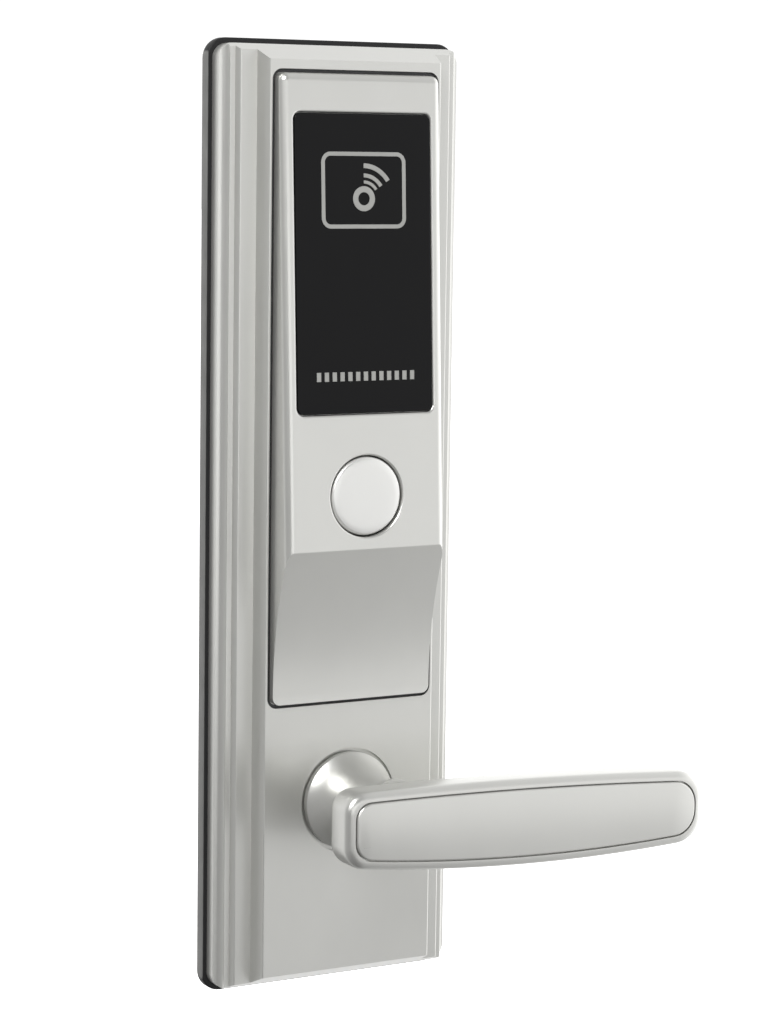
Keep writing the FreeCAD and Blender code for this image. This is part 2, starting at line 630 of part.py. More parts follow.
def make_electronics():
    """The reader board with its coil, chip, sounder, lamps, socket and lead."""
    front = "(board_depth + board_thick)"
    board = box("-board_half", "board_half", "board_depth", front, "board_low", "board_high")
    drills = [rod("screw_radius", x, z, "board_depth - 1", f"{front} + 1") for x, z in BOARD_SCREWS]
    node(cut(board, *drills), "reader_board")

    coil_front = f"({front} + coil_thick)"
    outer = box("-coil_half", "coil_half", front, coil_front, "coil_low", "coil_high")
    inner = box("-coil_half + coil_line", "coil_half - coil_line", f"{front} - 1", f"{coil_front} + 1",
                "coil_low + coil_line", "coil_high - coil_line")
    node(cut(outer, inner), "antenna_coil")

    back = "board_depth"
    side = "chip_side / 2"
    node(box(f"-{side}", side, f"{back} - chip_height", back, f"chip_level - {side}",
             f"chip_level + {side}"), "controller_chip")
    node(rod("buzzer_radius", "-11", "buzzer_level", f"{back} - buzzer_height", back), "buzzer")
    lamps = [rod("bar_wide / 2", f"{x}", "board_low + 14", front, f"{front} + led_height")
             for x in (-12, 0, 12)]
    node(bundle(lamps), "indicator_leds")

    left, right = "lead_x - socket_width / 2", "lead_x + socket_width / 2"
    low = "(board_low + 1)"
    high = f"({low} + socket_tall)"
    node(box(left, right, f"{back} - socket_deep", back, low, high), "board_socket")

    near, far = "lead_x - lead_width / 2", "lead_x + lead_width / 2"
    lead_back = "(lead_depth - lead_thick)"
    bend = "outlet_level - lead_width / 2"
    drop = box(near, far, lead_back, "lead_depth", bend, low)
    turn = box("0", far, lead_back, "lead_depth", bend, "outlet_level + lead_width / 2")
    node(fuse(drop, turn), "ribbon_cable")

    plate_back = "(back_plate_depth - back_plate_thick)"
    wide, tall = "outlet_half_width", "outlet_half_height"
    lip = "grommet_lip"
    body_block = box(f"-{wide}", wide, plate_back, "back_plate_depth", f"outlet_level - {tall}",
                     f"outlet_level + {tall}")
    flange = box(f"-{wide} - {lip}", f"{wide} + {lip}", "back_plate_depth", f"back_plate_depth + {lip}",
                 f"outlet_level - {tall} - {lip}", f"outlet_level + {tall} + {lip}")
    opening = box(f"-{wide} + 1", f"{wide} - 1", "0", "field_depth", f"outlet_level - {tall} + 1",
                  f"outlet_level + {tall} - 1")
    node(cut(fuse(body_block, flange), opening), "cable_grommet")
    plug = box(f"-{wide} + 1", f"{wide} - 1", plate_back, lead_back, f"outlet_level - {tall} + 1",
               f"outlet_level + {tall} - 1")
    contacts = [rod("0.5", f"{x}", "outlet_level", f"{plate_back} - 1", f"{plate_back} + 3")
                for x in (-4, -2, 0, 2, 4)]
    node(cut(plug, *contacts), "outlet_socket")


# --- key cylinder and its cap ------------------------------------------------------------------

def make_cylinder():
    """The override key cylinder, its turning plug and the flat tail that works the lock case."""
    level = "cap_height"
    barrel = rod("cylinder_radius", "0", level, "cylinder_back", "cylinder_front")
    collar = rod("cylinder_flange", "0", level, "cylinder_back", "hub_boss_depth")
    bore = rod("plug_radius + plug_fit", "0", level, "cylinder_back - 1", "cylinder_front + 1")
    spots = [("10.9", f"{level} + 4"), ("-10.9", f"{level} + 4"), ("10.9", f"{level} - 4"),
             ("-10.9", f"{level} - 4")]
    drills = [rod("screw_radius * 0.7", x, z, "cylinder_back - 1", "hub_boss_depth + 1") for x, z in spots]
    node(cut(fuse(barrel, collar), bore, *drills), "cylinder_body")

    plug = rod("plug_radius", "0", level, "plug_back", "cylinder_front + 0.3")
    keyway = box("-keyway_wide / 2", "keyway_wide / 2", "cylinder_front - keyway_deep",
                 "cylinder_front + 1", f"{level} - keyway_tall / 2", f"{level} + keyway_tall / 2")
    tail_slot = box("-tail_wide / 2", "tail_wide / 2", "0", "tail_socket", f"{level} - tail_thick / 2",
                    f"{level} + tail_thick / 2")
    clip_back = "(plug_back + 0.6)"
    groove = tube("plug_radius + 1", "plug_radius - 1", "0", level, clip_back, f"{clip_back} + clip_thick")
    node(cut(plug, keyway, tail_slot, groove), "cylinder_plug")
    clip = tube("clip_radius", "plug_radius - 1", "0", level, clip_back, f"{clip_back} + clip_thick")
    mouth = box("-plug_radius * 0.6", "plug_radius * 0.6", "0", "field_depth", level,
                f"{level} + clip_radius + 1")
    node(cut(clip, mouth), "cylinder_clip")
    node(box("-tail_wide / 2", "tail_wide / 2", "-tail_reach", "tail_socket",
             f"{level} - tail_thick / 2", f"{level} + tail_thick / 2"), "cylinder_tailpiece")


def make_cap():
    """The round cap that hides the keyway; its skirt grips a friction ring on the cylinder."""
    level = "cap_height"
    lean = "(cap_height - break_height) * tan(face_tilt)"
    front = f"(break_depth - {lean})"
    blank = rod("cap_radius", "0", level, "cap_skirt_depth", f"{front}")
    inside = rod("cap_radius - cap_wall", "0", level, "cap_skirt_depth - 1", f"{front} - cap_disc")
    node(cut(blank, inside), "key_cover_cap")
    node(tube("ring_reach", "cylinder_radius", "0", level, "ring_depth", "ring_depth + ring_width"),
         "cap_friction_ring")


# --- lever -------------------------------------------------------------------------------------

def arm_outline(sketch, inset="0"):
    """The arm seen from the front: both long edges bow, and the free end hangs a little."""
    left, right = f"(arm_left + {inset})", f"(arm_right - {inset})"
    top, top_end = f"(arm_top - {inset})", f"(arm_top_end - {inset})"
    low, low_end = f"(arm_low + {inset})", f"(arm_low_end + {inset})"
    near, far = f"(arm_left_corner - {inset} / 2)", f"(arm_right_corner - {inset} / 2)"
    outline(sketch, [
        (left, f"{low} + {near}", near, "right"), (left, f"{top} - {near}"),
        (f"{left} + {near}", top, near, "right"),
        (f"{right} - {far}", top_end, "arm_top_bow", "right"),
        (right, f"{top_end} - {far}", far, "right"),
        (right, f"{low_end} + {far}"),
        (f"{right} - {far}", low_end, far, "right"),
        (f"{left} + {near}", low, "arm_low_bow", "right"),
    ])


def make_lever():
    """The handle: a waisted round neck that carries a flat arm with a sunk front."""
    body = new_body("lever_body")
    arm = new_sketch(body, "XZ_Plane", "arm_back")
    arm_outline(arm)
    pad(body, arm, "arm_front - arm_back")
    front, back = -value("arm_front"), -value("arm_back")
    round_edges(body, "arm_round", lambda point: abs(point.y - front) < 0.01)
    round_edges(body, "arm_back_round", lambda point: abs(point.y - back) < 0.01)

    neck = new_sketch(body, "XY_Plane")
    outline(neck, [
        ("0", "-neck_back"), ("neck_radius", "-neck_back"), ("neck_radius", "-neck_shoulder"),
        ("neck_waist", "-neck_waist_depth", "neck_flare", "left"),
        ("neck_waist", "-(arm_back + 2)"), ("0", "-(arm_back + 2)"),
    ])
    revolve(body, neck)
    holes(body, [("0", "0")], "sleeve_radius", "0", "sleeve_front", towards_front=True)
    grub = new_sketch(body, "XY_Plane", "-neck_radius - 1")
    circle(grub, "0", "-grub_depth", "grub_radius")
    pocket(body, grub, "neck_radius + 1 - sleeve_radius + 1", towards_front=True)
    sunk = new_sketch(body, "XZ_Plane", "arm_front")
    arm_outline(sunk, "inlay_margin")
    pocket(body, sunk, "inlay_sunk")

    inlay = new_body("lever_inlay")
    panel = new_sketch(inlay, "XZ_Plane", "arm_front - inlay_sunk")
    arm_outline(panel, "(inlay_margin + inlay_gap)")
    pad(inlay, panel, "inlay_sunk + inlay_proud")
    face = front - value("inlay_proud")
    round_edges(inlay, "inlay_round", lambda point: abs(point.y - face) < 0.01)


def make_lever_works():
    """What carries the lever in the escutcheon and brings it back."""
    sleeve = tube("sleeve_radius", "sleeve_bore", "0", "0", "sleeve_back", "sleeve_front")
    hole = upright("pin_radius + pin_fit", "0", "clutch_depth", "0", "sleeve_radius + 1")
    dimple = upright("grub_radius", "0", "grub_depth", "-sleeve_radius - 1", "-sleeve_radius + 0.8")
    node(cut(sleeve, hole, dimple), "lever_sleeve")

    grub = upright("grub_radius", "0", "grub_depth", "-sleeve_radius + 0.8 - grub_length",
                   "-sleeve_radius + 0.8")
    key = upright("grub_radius * 0.5", "0", "grub_depth", "-sleeve_radius - grub_length",
                  "-sleeve_radius - grub_length + 2.5")
    node(cut(grub, key), "lever_grub_screw")

    inner = "(sleeve_radius + bush_fit)"
    barrel = tube("bush_radius", inner, "0", "0", "hub_boss_depth", "recess_floor")
    flange = tube("bush_flange", inner, "0", "0", "hub_boss_depth - bush_flange_thick", "hub_boss_depth")
    node(fuse(barrel, flange), "neck_bush")

    ring_front = "(hub_boss_depth - bush_flange_thick - 0.2)"
    ring_back = f"({ring_front} - stop_thick)"
    ring = tube("stop_radius", "sleeve_radius", "0", "0", ring_back, ring_front)
    lug = box("-stop_lug_half", "stop_lug_half", ring_back, ring_front, "-stop_reach",
              "-stop_radius + 0.5")
    node(fuse(ring, lug), "stop_ring")

    pins = []
    for angle in ("-stop_angle", "lever_travel + stop_angle"):
        pins.append(rod("stop_pin_radius", f"-stop_pin_orbit * sin({angle})",
                        f"-stop_pin_orbit * cos({angle})", "spring_front", "hub_boss_depth"))
    node(bundle(pins), "stop_pins")
    make_return_spring()


def make_return_spring():
    """The coil round the sleeve that lifts the lever again."""
    helix = doc.addObject("Part::Helix", "helix")
    bind(helix, Pitch="spring_pitch", Height="spring_pitch * spring_coils", Radius="spring_radius")
    helix.SegmentLength = 0.25
    section = doc.addObject("Part::Circle", "wire")
    bind(section, Radius="spring_wire")
    section.Placement.Rotation = FreeCAD.Rotation(FreeCAD.Vector(1, 0, 0), 90)
    bind(section, Placement__Base__x="spring_radius")
    doc.recompute()
    coil = doc.addObject("Part::Sweep", "sweep")
    coil.Sections = [section]
    coil.Spine = (helix, [f"Edge{n}" for n in range(1, len(helix.Shape.Edges) + 1)])
    coil.Solid = True
    coil.Frenet = True
    coil.Placement.Rotation = FreeCAD.Rotation(FreeCAD.Vector(1, 0, 0), -90)
    bind(coil, Placement__Base__y="-(spring_front - spring_wire)")
    node(coil, "return_spring")


# --- spindle and clutch ------------------------------------------------------------------------

def make_spindle():
    """The driver inside the sleeve, the square spindle and the plate that keeps them."""
    driver = rod("driver_radius", "0", "0", "driver_back", "driver_front")
    half = "spindle_side / 2"
    square = box(f"-{half}", half, "0", "spindle_front", f"-{half}", half)
    pin_hole = upright("pin_pocket_radius", "0", "clutch_depth", "pin_pocket_floor", "driver_radius + 1")
    node(cut(driver, square, pin_hole), "spindle_driver")
    node(box(f"-{half}", half, "-spindle_reach", "spindle_front", f"-{half}", half), "spindle_bar")

    plate_back = "(back_plate_depth - back_plate_thick)"
    keeper = tube("keeper_radius", "keeper_bore", "0", "0", f"{plate_back} - keeper_thick", plate_back)
    drills = [rod("screw_radius", x, z, "0", "field_depth") for x, z in KEEPER_SCREWS]
    node(cut(keeper, *drills), "driver_keeper")


def ring_sector(outer, inner, back, front, before, after):
    """Part of a ring round the lever's axis, between two angles from straight up."""
    ring = tube(outer, inner, "0", "0", back, front)
    sector = doc.addObject("Part::Cylinder", "sector")
    bind(sector, Radius=f"({outer}) + 1", Height=f"({front}) - ({back})", Angle=f"({before}) + ({after})")
    sector.Placement.Rotation = FreeCAD.Rotation(FreeCAD.Vector(1, 0, 0), 90)
    place(sector, "0", f"-({back})", "0")
    turned = doc.addObject("Part::Compound", "turned")
    turned.Links = [sector]
    turned.Placement.Rotation = FreeCAD.Rotation(FreeCAD.Vector(0, -1, 0), 1)
    bind(turned, Placement__Rotation__Angle=f"90 - ({after})")
    return common(ring, turned)


def make_clutch():
    """A pin in the sleeve, the yoke that pushes it in, and the motor that moves the yoke."""
    stem = upright("pin_radius", "0", "clutch_depth", "pin_tip", "pin_head")
    head = upright("pin_head_radius", "0", "clutch_depth", "pin_head - pin_head_thick", "pin_head")
    node(fuse(stem, head), "clutch_pin")

    back, front = "(clutch_depth - shoe_thick / 2)", "(clutch_depth + shoe_thick / 2)"
    shoe = ring_sector("shoe_outer", "shoe_inner", back, front, "shoe_before", "shoe_after")
    arm = box("-yoke_half", "yoke_half", back, front, "shoe_outer - 1", "nut_low + 1")
    nut = box("-nut_half", "nut_half", back, "screw_axis_depth + nut_half - 1", "nut_low", "nut_high")
    bore = upright("nut_bore", "0", "screw_axis_depth", "nut_low - 1", "nut_high + 1")
    node(cut(fuse(shoe, arm, nut), bore), "clutch_yoke")
    node(upright("clutch_screw_radius", "0", "screw_axis_depth", "clutch_screw_low", "motor_low - 0.3"),
         "clutch_screw")

    axis = "screw_axis_depth"
    node(upright("motor_radius", "0", axis, "motor_low", "motor_high"), "clutch_motor")
    cradle = box("-cradle_half", "cradle_half", axis, "cavity_depth", "motor_low + 2", "motor_high - 2")
    seat = upright("motor_radius", "0", axis, "motor_low", "motor_high")
    node(cut(cradle, seat), "motor_cradle")
    inner, outer = "motor_radius", "(motor_radius + strap_thick)"
    middle = "(motor_low + motor_high) / 2"
    hoop = cut(upright(outer, "0", axis, f"{middle} - 2.5", f"{middle} + 2.5"),
               upright(inner, "0", axis, f"{middle} - 4", f"{middle} + 4"))
    half_hoop = common(hoop, box("-field_depth", "field_depth", "0", axis, f"{middle} - 3", f"{middle} + 3"))
    node(half_hoop, "motor_strap")
    guides = [rod("guide_radius", f"{sign}guide_x", "guide_level", back, "cavity_depth")
              for sign in ("", "-")]
    node(bundle(guides), "yoke_guide_pins")


# --- build and write ---------------------------------------------------------------------------

def check():
    """Stop unless every object of the document came out whole."""
    for thing in doc.Objects:
        if "Invalid" in thing.State or "Error" in thing.State:
            raise RuntimeError(f"{thing.Label} ({thing.Name}) failed: {thing.State}")
    for thing in NODES:
        if thing.Shape.isNull() or not thing.Shape.isValid():
            raise RuntimeError(f"{thing.Label} has no sound shape")
        solids = thing.Shape.Solids
        if not solids or any(solid.Volume <= 0 for solid in solids):
            raise RuntimeError(f"{thing.Label} has no solid")


def write():
    """Write each sub-part to a file of its own name."""
    os.makedirs("parts", exist_ok=True)
    for thing in NODES:
        thing.Shape.exportStep(f"parts/{thing.Label}.step")
        print(f"{thing.Label}: {thing.Shape.Volume:.1f} mm3, solids {len(thing.Shape.Solids)}")


make_gasket()
make_escutcheon()
make_back_plate()
screws("back_plate_screws", PLATE_SCREWS, "back_plate_depth - back_plate_thick", "cavity_depth - 4")
screws("housing_screws", HOUSING_SCREWS, "cavity_depth", "field_depth + 1.2")
screws("board_screws", BOARD_SCREWS, "board_depth", "field_depth - 0.6")
screws("keeper_screws", KEEPER_SCREWS, "back_plate_depth - back_plate_thick - keeper_thick",
       "back_plate_depth")
make_fixing_posts()
make_housing()
make_window()
make_symbol()
make_indicator_bars()
make_electronics()
make_cylinder()
make_cap()
make_lever()
make_lever_works()
make_spindle()
make_clutch()
doc.recompute()
check()
write()
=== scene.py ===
"""A door card reader with a lever handle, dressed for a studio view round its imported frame.

Sizes are in millimetres until they reach Blender. A place is given as x to the right, depth out of
the door towards the viewer, and z upwards, measured from the lever's axis at the door's face.
"""

from __future__ import annotations

import json
import logging
import math
from dataclasses import dataclass
from enum import Enum
from typing import Callable, Mapping, Optional, Sequence, Union

import bmesh
import bpy
from mathutils import Matrix, Vector


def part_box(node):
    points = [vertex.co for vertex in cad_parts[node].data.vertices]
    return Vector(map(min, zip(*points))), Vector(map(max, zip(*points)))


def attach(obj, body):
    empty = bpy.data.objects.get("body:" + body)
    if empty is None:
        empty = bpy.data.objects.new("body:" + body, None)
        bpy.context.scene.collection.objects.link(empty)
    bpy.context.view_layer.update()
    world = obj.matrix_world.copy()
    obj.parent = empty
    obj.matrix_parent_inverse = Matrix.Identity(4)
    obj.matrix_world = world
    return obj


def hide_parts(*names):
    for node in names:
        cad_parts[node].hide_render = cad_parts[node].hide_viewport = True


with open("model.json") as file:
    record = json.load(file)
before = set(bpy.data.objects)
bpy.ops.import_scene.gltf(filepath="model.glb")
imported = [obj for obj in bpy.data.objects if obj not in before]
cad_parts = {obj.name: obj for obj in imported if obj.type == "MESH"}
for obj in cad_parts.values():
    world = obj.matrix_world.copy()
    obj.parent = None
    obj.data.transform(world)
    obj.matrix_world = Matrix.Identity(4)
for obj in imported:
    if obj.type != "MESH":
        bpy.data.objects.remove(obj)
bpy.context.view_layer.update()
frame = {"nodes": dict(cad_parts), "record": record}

log = logging.getLogger("card_reader")

MM = 0.001
Colour = tuple[float, float, float]
FACE_TILT = math.radians(2.77)
BREAK_DEPTH = 29.1
BREAK_HEIGHT = 78.8


def at(x: float, depth: float, z: float) -> Vector:
    """Give a place in Blender's metres.

    Args:
        x: Distance to the right.
        depth: Distance out of the door.
        z: Height over the lever's axis.

    Returns:
        The point in the shared frame.
    """
    return Vector((x, -depth, z)) * MM


# ---------------------------------------------------------------------------------------------
# Materials
# ---------------------------------------------------------------------------------------------


class Signal:
    """One output of a shader node, used in sums like a number."""

    def __init__(self, graph: "ShaderGraph", socket: bpy.types.NodeSocket) -> None:
        """Keep the socket and the graph that it belongs to."""
        self.graph = graph
        self.socket = socket

    def math(self, operation: str, *others: Union["Signal", float]) -> "Signal":
        """Add a Math node that works on this signal.

        Args:
            operation: The Math node's operation.
            *others: Its further inputs, as signals or numbers.

        Returns:
            The result as a signal.
        """
        return self.graph.math(operation, self, *others)

    def __add__(self, other: Union["Signal", float]) -> "Signal":
        """Sum of two values."""
        return self.math("ADD", other)

    __radd__ = __add__

    def __mul__(self, other: Union["Signal", float]) -> "Signal":
        """Product of two values."""
        return self.math("MULTIPLY", other)

    __rmul__ = __mul__

    def __sub__(self, other: Union["Signal", float]) -> "Signal":
        """Difference of two values."""
        return self.math("SUBTRACT", other)

    def __rsub__(self, other: float) -> "Signal":
        """Difference with a number in front."""
        return self.graph.math("SUBTRACT", other, self)

    def __pow__(self, other: float) -> "Signal":
        """Power of a value."""
        return self.math("POWER", other)

    def __gt__(self, other: float) -> "Signal":
        """One where the value is above a number, else nought."""
        return self.math("GREATER_THAN", other)


class ShaderGraph:
    """A node tree of a material or a world, built in words close to arithmetic."""

    def __init__(self, owner: Union[bpy.types.Material, bpy.types.World]) -> None:
        """Empty the owner's node tree."""
        self.owner = owner
        owner.use_nodes = True
        self.tree = owner.node_tree
        self.tree.nodes.clear()

    @classmethod
    def of_material(cls, name: str) -> "ShaderGraph":
        """Start the graph of a new material."""
        return cls(bpy.data.materials.new(name))

    def node(
        self,
        kind: str,
        settings: Optional[Mapping[str, object]] = None,
        inputs: Optional[Mapping[Union[str, int], object]] = None,
    ) -> bpy.types.Node:
        """Add a node, set it up and feed its sockets.

        Args:
            kind: The node type without its ShaderNode prefix.
            settings: Its properties, which are set first.
            inputs: Values, signals or sockets by input name or number.

        Returns:
            The node.
        """
        made = self.tree.nodes.new("ShaderNode" + kind)
        for key, setting in (settings or {}).items():
            setattr(made, key, setting)
        for key, given in (inputs or {}).items():
            if isinstance(given, Signal):
                self.tree.links.new(given.socket, made.inputs[key])
            elif isinstance(given, bpy.types.NodeSocket):
                self.tree.links.new(given, made.inputs[key])
            else:
                made.inputs[key].default_value = given
        return made

    def math(self, operation: str, *values: Union[Signal, float]) -> Signal:
        """Add a Math node.

        Args:
            operation: Its operation.
            *values: Its inputs in order.

        Returns:
            Its result.
        """
        inputs = dict(enumerate(values))
        return Signal(self, self.node("Math", {"operation": operation}, inputs).outputs[0])

    def place(self) -> bpy.types.NodeSocket:
        """Object coordinates, in metres of the shared frame."""
        return self.node("TexCoord").outputs["Object"]

    def stretched(self, scale: Sequence[float]) -> bpy.types.NodeSocket:
        """Object coordinates with each axis scaled.

        Args:
            scale: Repeats per metre along x, y and z.

        Returns:
            The scaled vector.
        """
        settings = {"vector_type": "POINT"}
        inputs = {"Vector": self.place(), "Scale": tuple(scale)}
        return self.node("Mapping", settings, inputs).outputs["Vector"]

    def axes(self) -> tuple[Signal, Signal, Signal]:
        """The three object coordinates as separate values."""
        split = self.node("SeparateXYZ", None, {0: self.place()})
        return tuple(Signal(self, split.outputs[i]) for i in range(3))

    def noise(self, scale: Sequence[float], detail: float = 3.0, rough: float = 0.55) -> Signal:
        """Soft noise between nought and one.

        Args:
            scale: Blobs per metre along each axis.
            detail: Octaves.
            rough: Weight of the finer octaves.

        Returns:
            The noise value.
        """
        inputs = {
            "Vector": self.stretched(scale),
            "Scale": 1.0,
            "Detail": detail,
            "Roughness": rough,
        }
        return Signal(self, self.node("TexNoise", None, inputs).outputs[0])

    def cells(self, per_metre: float) -> Signal:
        """Flat random values in cells, as on zinc spangle.

        Args:
            per_metre: Cells along a metre.

        Returns:
            A value that is even inside each cell.
        """
        inputs = {"Vector": self.place(), "Scale": per_metre}
        cells = self.node("TexVoronoi", None, inputs)
        split = self.node("SeparateColor", None, {0: cells.outputs["Color"]})
        return Signal(self, split.outputs[0])

    def blend(self, first: Colour, second: Colour, share: Signal) -> bpy.types.NodeSocket:
        """Mix two colours.

        Args:
            first: Colour where the share is nought.
            second: Colour where the share is one.
            share: The mixing value.

        Returns:
            The colour output.
        """
        inputs = {0: share, 6: (*first, 1.0), 7: (*second, 1.0)}
        return self.node("Mix", {"data_type": "RGBA"}, inputs).outputs[2]

    def bump(self, height: Signal, distance: float, strength: float) -> bpy.types.NodeSocket:
        """Turn a height into a normal.

        Args:
            height: Height between nought and one.
            distance: Its depth in millimetres.
            strength: Share of the effect.

        Returns:
            The normal.
        """
        inputs = {"Height": height, "Distance": distance * MM, "Strength": strength}
        return self.node("Bump", None, inputs).outputs["Normal"]

    def close(self, inputs: Mapping[Union[str, int], object]) -> bpy.types.Material:
        """End the graph in a Principled shader.

        Args:
            inputs: What goes to the shader's sockets.

        Returns:
            The finished material.
        """
        shader = self.node("BsdfPrincipled", None, inputs)
        self.node("OutputMaterial", None, {"Surface": shader.outputs[0]})
        return self.owner


def shade(colour: Colour, factor: float) -> Colour:
    """Make a colour lighter or darker.

    Args:
        colour: The colour.
        factor: What each part is multiplied by.

    Returns:
        The new colour.
    """
    return tuple(min(part * factor, 1.0) for part in colour)


class Grain(Enum):
    """Surface structure of a metal."""

    CAST = "cast"
    BRUSHED = "brushed"
    SPANGLED = "spangled"
    TURNED = "turned"
    DRAWN = "drawn"


@dataclass(frozen=True)
class Metal:
    """A metal surface with its own grain, fine scratches and handling marks."""

    slot: str
    tone: Colour
    metallic: float
    roughness: float
    grain: Grain
    depth: float = 0.01
    coat: float = 0.0
    turned_about: tuple[float, float] = (0.0, 0.0)

    def structure(self, graph: ShaderGraph) -> Signal:
        """Give the grain's height.

        Args:
            graph: The material's graph.

        Returns:
            A height between nought and one.
        """
        if self.grain is Grain.BRUSHED:
            return graph.noise((260.0, 3000.0, 5200.0), 4.0)
        if self.grain is Grain.DRAWN:
            return graph.noise((5200.0, 240.0, 5200.0), 3.0)
        if self.grain is Grain.SPANGLED:
            return graph.cells(420.0) * 0.7 + graph.noise((2600.0,) * 3) * 0.3
        if self.grain is Grain.TURNED:
            x, _, z = graph.axes()
            across, up = x - self.turned_about[0] * MM, z - self.turned_about[1] * MM
            reach = (across * across + up * up) ** 0.5
            rings = (reach * 15000.0).math("SINE") * 0.5 + 0.5
            return rings * 0.7 + graph.noise((900.0,) * 3) * 0.3
        return graph.noise((4200.0,) * 3, 3.0, 0.6)

    def build(self) -> bpy.types.Material:
        """Make the material.

        Returns:
            The finished material.
        """
        graph = ShaderGraph.of_material(self.slot)
        height = self.structure(graph)
        marks = graph.noise((38.0, 38.0, 24.0), 4.0, 0.6)
        scratches = graph.noise((90.0, 90.0, 2600.0), 2.0) > 0.72
        rough = marks * 0.10 + height * 0.05 + (self.roughness - 0.07) - scratches * 0.03
        colour = graph.blend(shade(self.tone, 0.96), shade(self.tone, 1.03), marks)
        return graph.close(
            {
                "Base Color": colour,
                "Metallic": self.metallic,
                "Roughness": rough,
                "Coat Weight": self.coat,
                "Coat Roughness": 0.12,
                "Normal": graph.bump(height, self.depth, 0.5),
            }
        )


@dataclass(frozen=True)
class Moulded:
    """Rubber or plastic with a spark-eroded skin."""

    slot: str
    tone: Colour
    roughness: float
    depth: float = 0.02
    per_metre: float = 2600.0
    sheen: float = 0.0
    specular: float = 0.5

    def build(self) -> bpy.types.Material:
        """Make the material.

        Returns:
            The finished material.
        """
        graph = ShaderGraph.of_material(self.slot)
        skin = graph.noise((self.per_metre,) * 3, 4.0, 0.65)
        dust = graph.noise((60.0,) * 3, 5.0, 0.6)
        colour = graph.blend(shade(self.tone, 0.9), shade(self.tone, 1.12), dust)
        return graph.close(
            {
                "Base Color": colour,
                "Roughness": skin * 0.12 + dust * 0.10 + (self.roughness - 0.11),
                "Specular IOR Level": self.specular,
                "Sheen Weight": self.sheen,
                "Normal": graph.bump(skin, self.depth, 0.6),
            }
        )


@dataclass(frozen=True)
class SealRubber:
    """Black rubber with a painted sheen: its outer side is painted grey as a highlight."""

    slot: str = "gasket_rubber"
    side: float = 41.9

    def build(self) -> bpy.types.Material:
        """Make the material.

        Returns:
            The finished material.
        """
        graph = ShaderGraph.of_material(self.slot)
        x, _, _ = graph.axes()
        # Painted sheen: past the mask the outer side wall is painted light grey, with blotchy
        # noise, as a highlight on the rubber.
        sheen_blotches = graph.noise((300.0, 300.0, 120.0), 4.0, 0.6)
        outer = ((x.math("ABSOLUTE") - self.side * MM) * 4000.0).math("MINIMUM", 1.0)
        painted_sheen = outer.math("MAXIMUM", 0.0) * (sheen_blotches * 0.5 + 0.6)
        skin = graph.noise((1500.0,) * 3, 4.0, 0.65)
        return graph.close(
            {
                "Base Color": graph.blend((0.008, 0.008, 0.0085), (0.19, 0.19, 0.185), painted_sheen),
                "Roughness": skin * 0.15 + 0.48,
                "Specular IOR Level": 0.35,
                "Normal": graph.bump(skin, 0.03, 0.6),
            }
        )


@dataclass(frozen=True)
class SmokedPane:
    """The dark window: near black, polished, with faint wipe marks."""

    slot: str = "window_black"

    def build(self) -> bpy.types.Material:
        """Make the material.

        Returns:
            The finished material.
        """
        graph = ShaderGraph.of_material(self.slot)
        wipe = graph.noise((30.0, 30.0, 11.0), 5.0, 0.6)
        ripple = graph.noise((70.0,) * 3, 1.0)
        colour = graph.blend((0.0060, 0.0060, 0.0064), (0.0085, 0.0085, 0.009), wipe)
        return graph.close(
            {
                "Base Color": colour,
                "Roughness": wipe * 0.08 + 0.07,
                "Specular IOR Level": 0.12,
                "Normal": graph.bump(ripple, 0.01, 0.25),
            }
        )


@dataclass(frozen=True)
class BoardLacquer:
    """Solder lacquer over a printed board's fine tracks."""

    slot: str = "board_green"

    def build(self) -> bpy.types.Material:
        """Make the material.

        Returns:
            The finished material.
        """
        graph = ShaderGraph.of_material(self.slot)
        x, _, z = graph.axes()
        columns = (x * 5000.0).math("SINE") > 0.55
        rows = (z * 4200.0).math("SINE") > 0.6
        region = graph.cells(70.0) > 0.5
        tracks = region * columns + (1.0 - region) * rows
        cloth = graph.noise((1700.0,) * 3)
        colour = graph.blend((0.012, 0.085, 0.03), (0.035, 0.19, 0.065), tracks)
        height = tracks * 0.8 + cloth * 0.2
        return graph.close(
            {
                "Base Color": colour,
                "Roughness": cloth * 0.12 + 0.24,
                "Normal": graph.bump(height, 0.04, 0.6),
            }
        )


SATIN_TONE = (0.64, 0.64, 0.615)
FINISHES = (
    Metal("satin_cast", SATIN_TONE, 0.8, 0.34, Grain.CAST, 0.005),
    Metal("satin_panel", SATIN_TONE, 0.8, 0.32, Grain.BRUSHED, 0.004),
    Metal("cap_light", (0.76, 0.76, 0.74), 0.6, 0.34, Grain.CAST, 0.004),
    Metal("copper", (0.72, 0.36, 0.22), 1.0, 0.34, Grain.DRAWN, 0.01),
    Metal("zinc_steel", (0.60, 0.62, 0.64), 0.9, 0.38, Grain.SPANGLED, 0.006),
    Metal("bright_steel", (0.62, 0.61, 0.60), 1.0, 0.28, Grain.TURNED, 0.008),
    Metal("spring_steel", (0.42, 0.42, 0.44), 1.0, 0.32, Grain.DRAWN, 0.01),
    Metal("dark_steel", (0.12, 0.12, 0.13), 0.8, 0.42, Grain.CAST, 0.012),
    Metal("brass_turned", (0.72, 0.52, 0.22), 1.0, 0.26, Grain.TURNED, 0.01, 0.0, (0.0, 94.4)),
    SealRubber(),
    Moulded("dark_plastic", (0.022, 0.022, 0.024), 0.46, 0.03),
    Moulded("white_plastic", (0.66, 0.65, 0.62), 0.42, 0.02),
    Moulded("clear_lens", (0.70, 0.72, 0.70), 0.18, 0.01, 900.0),
    Moulded("print_light", (0.33, 0.33, 0.315), 0.62, 0.01, 3600.0),
    SmokedPane(),
    BoardLacquer(),
)


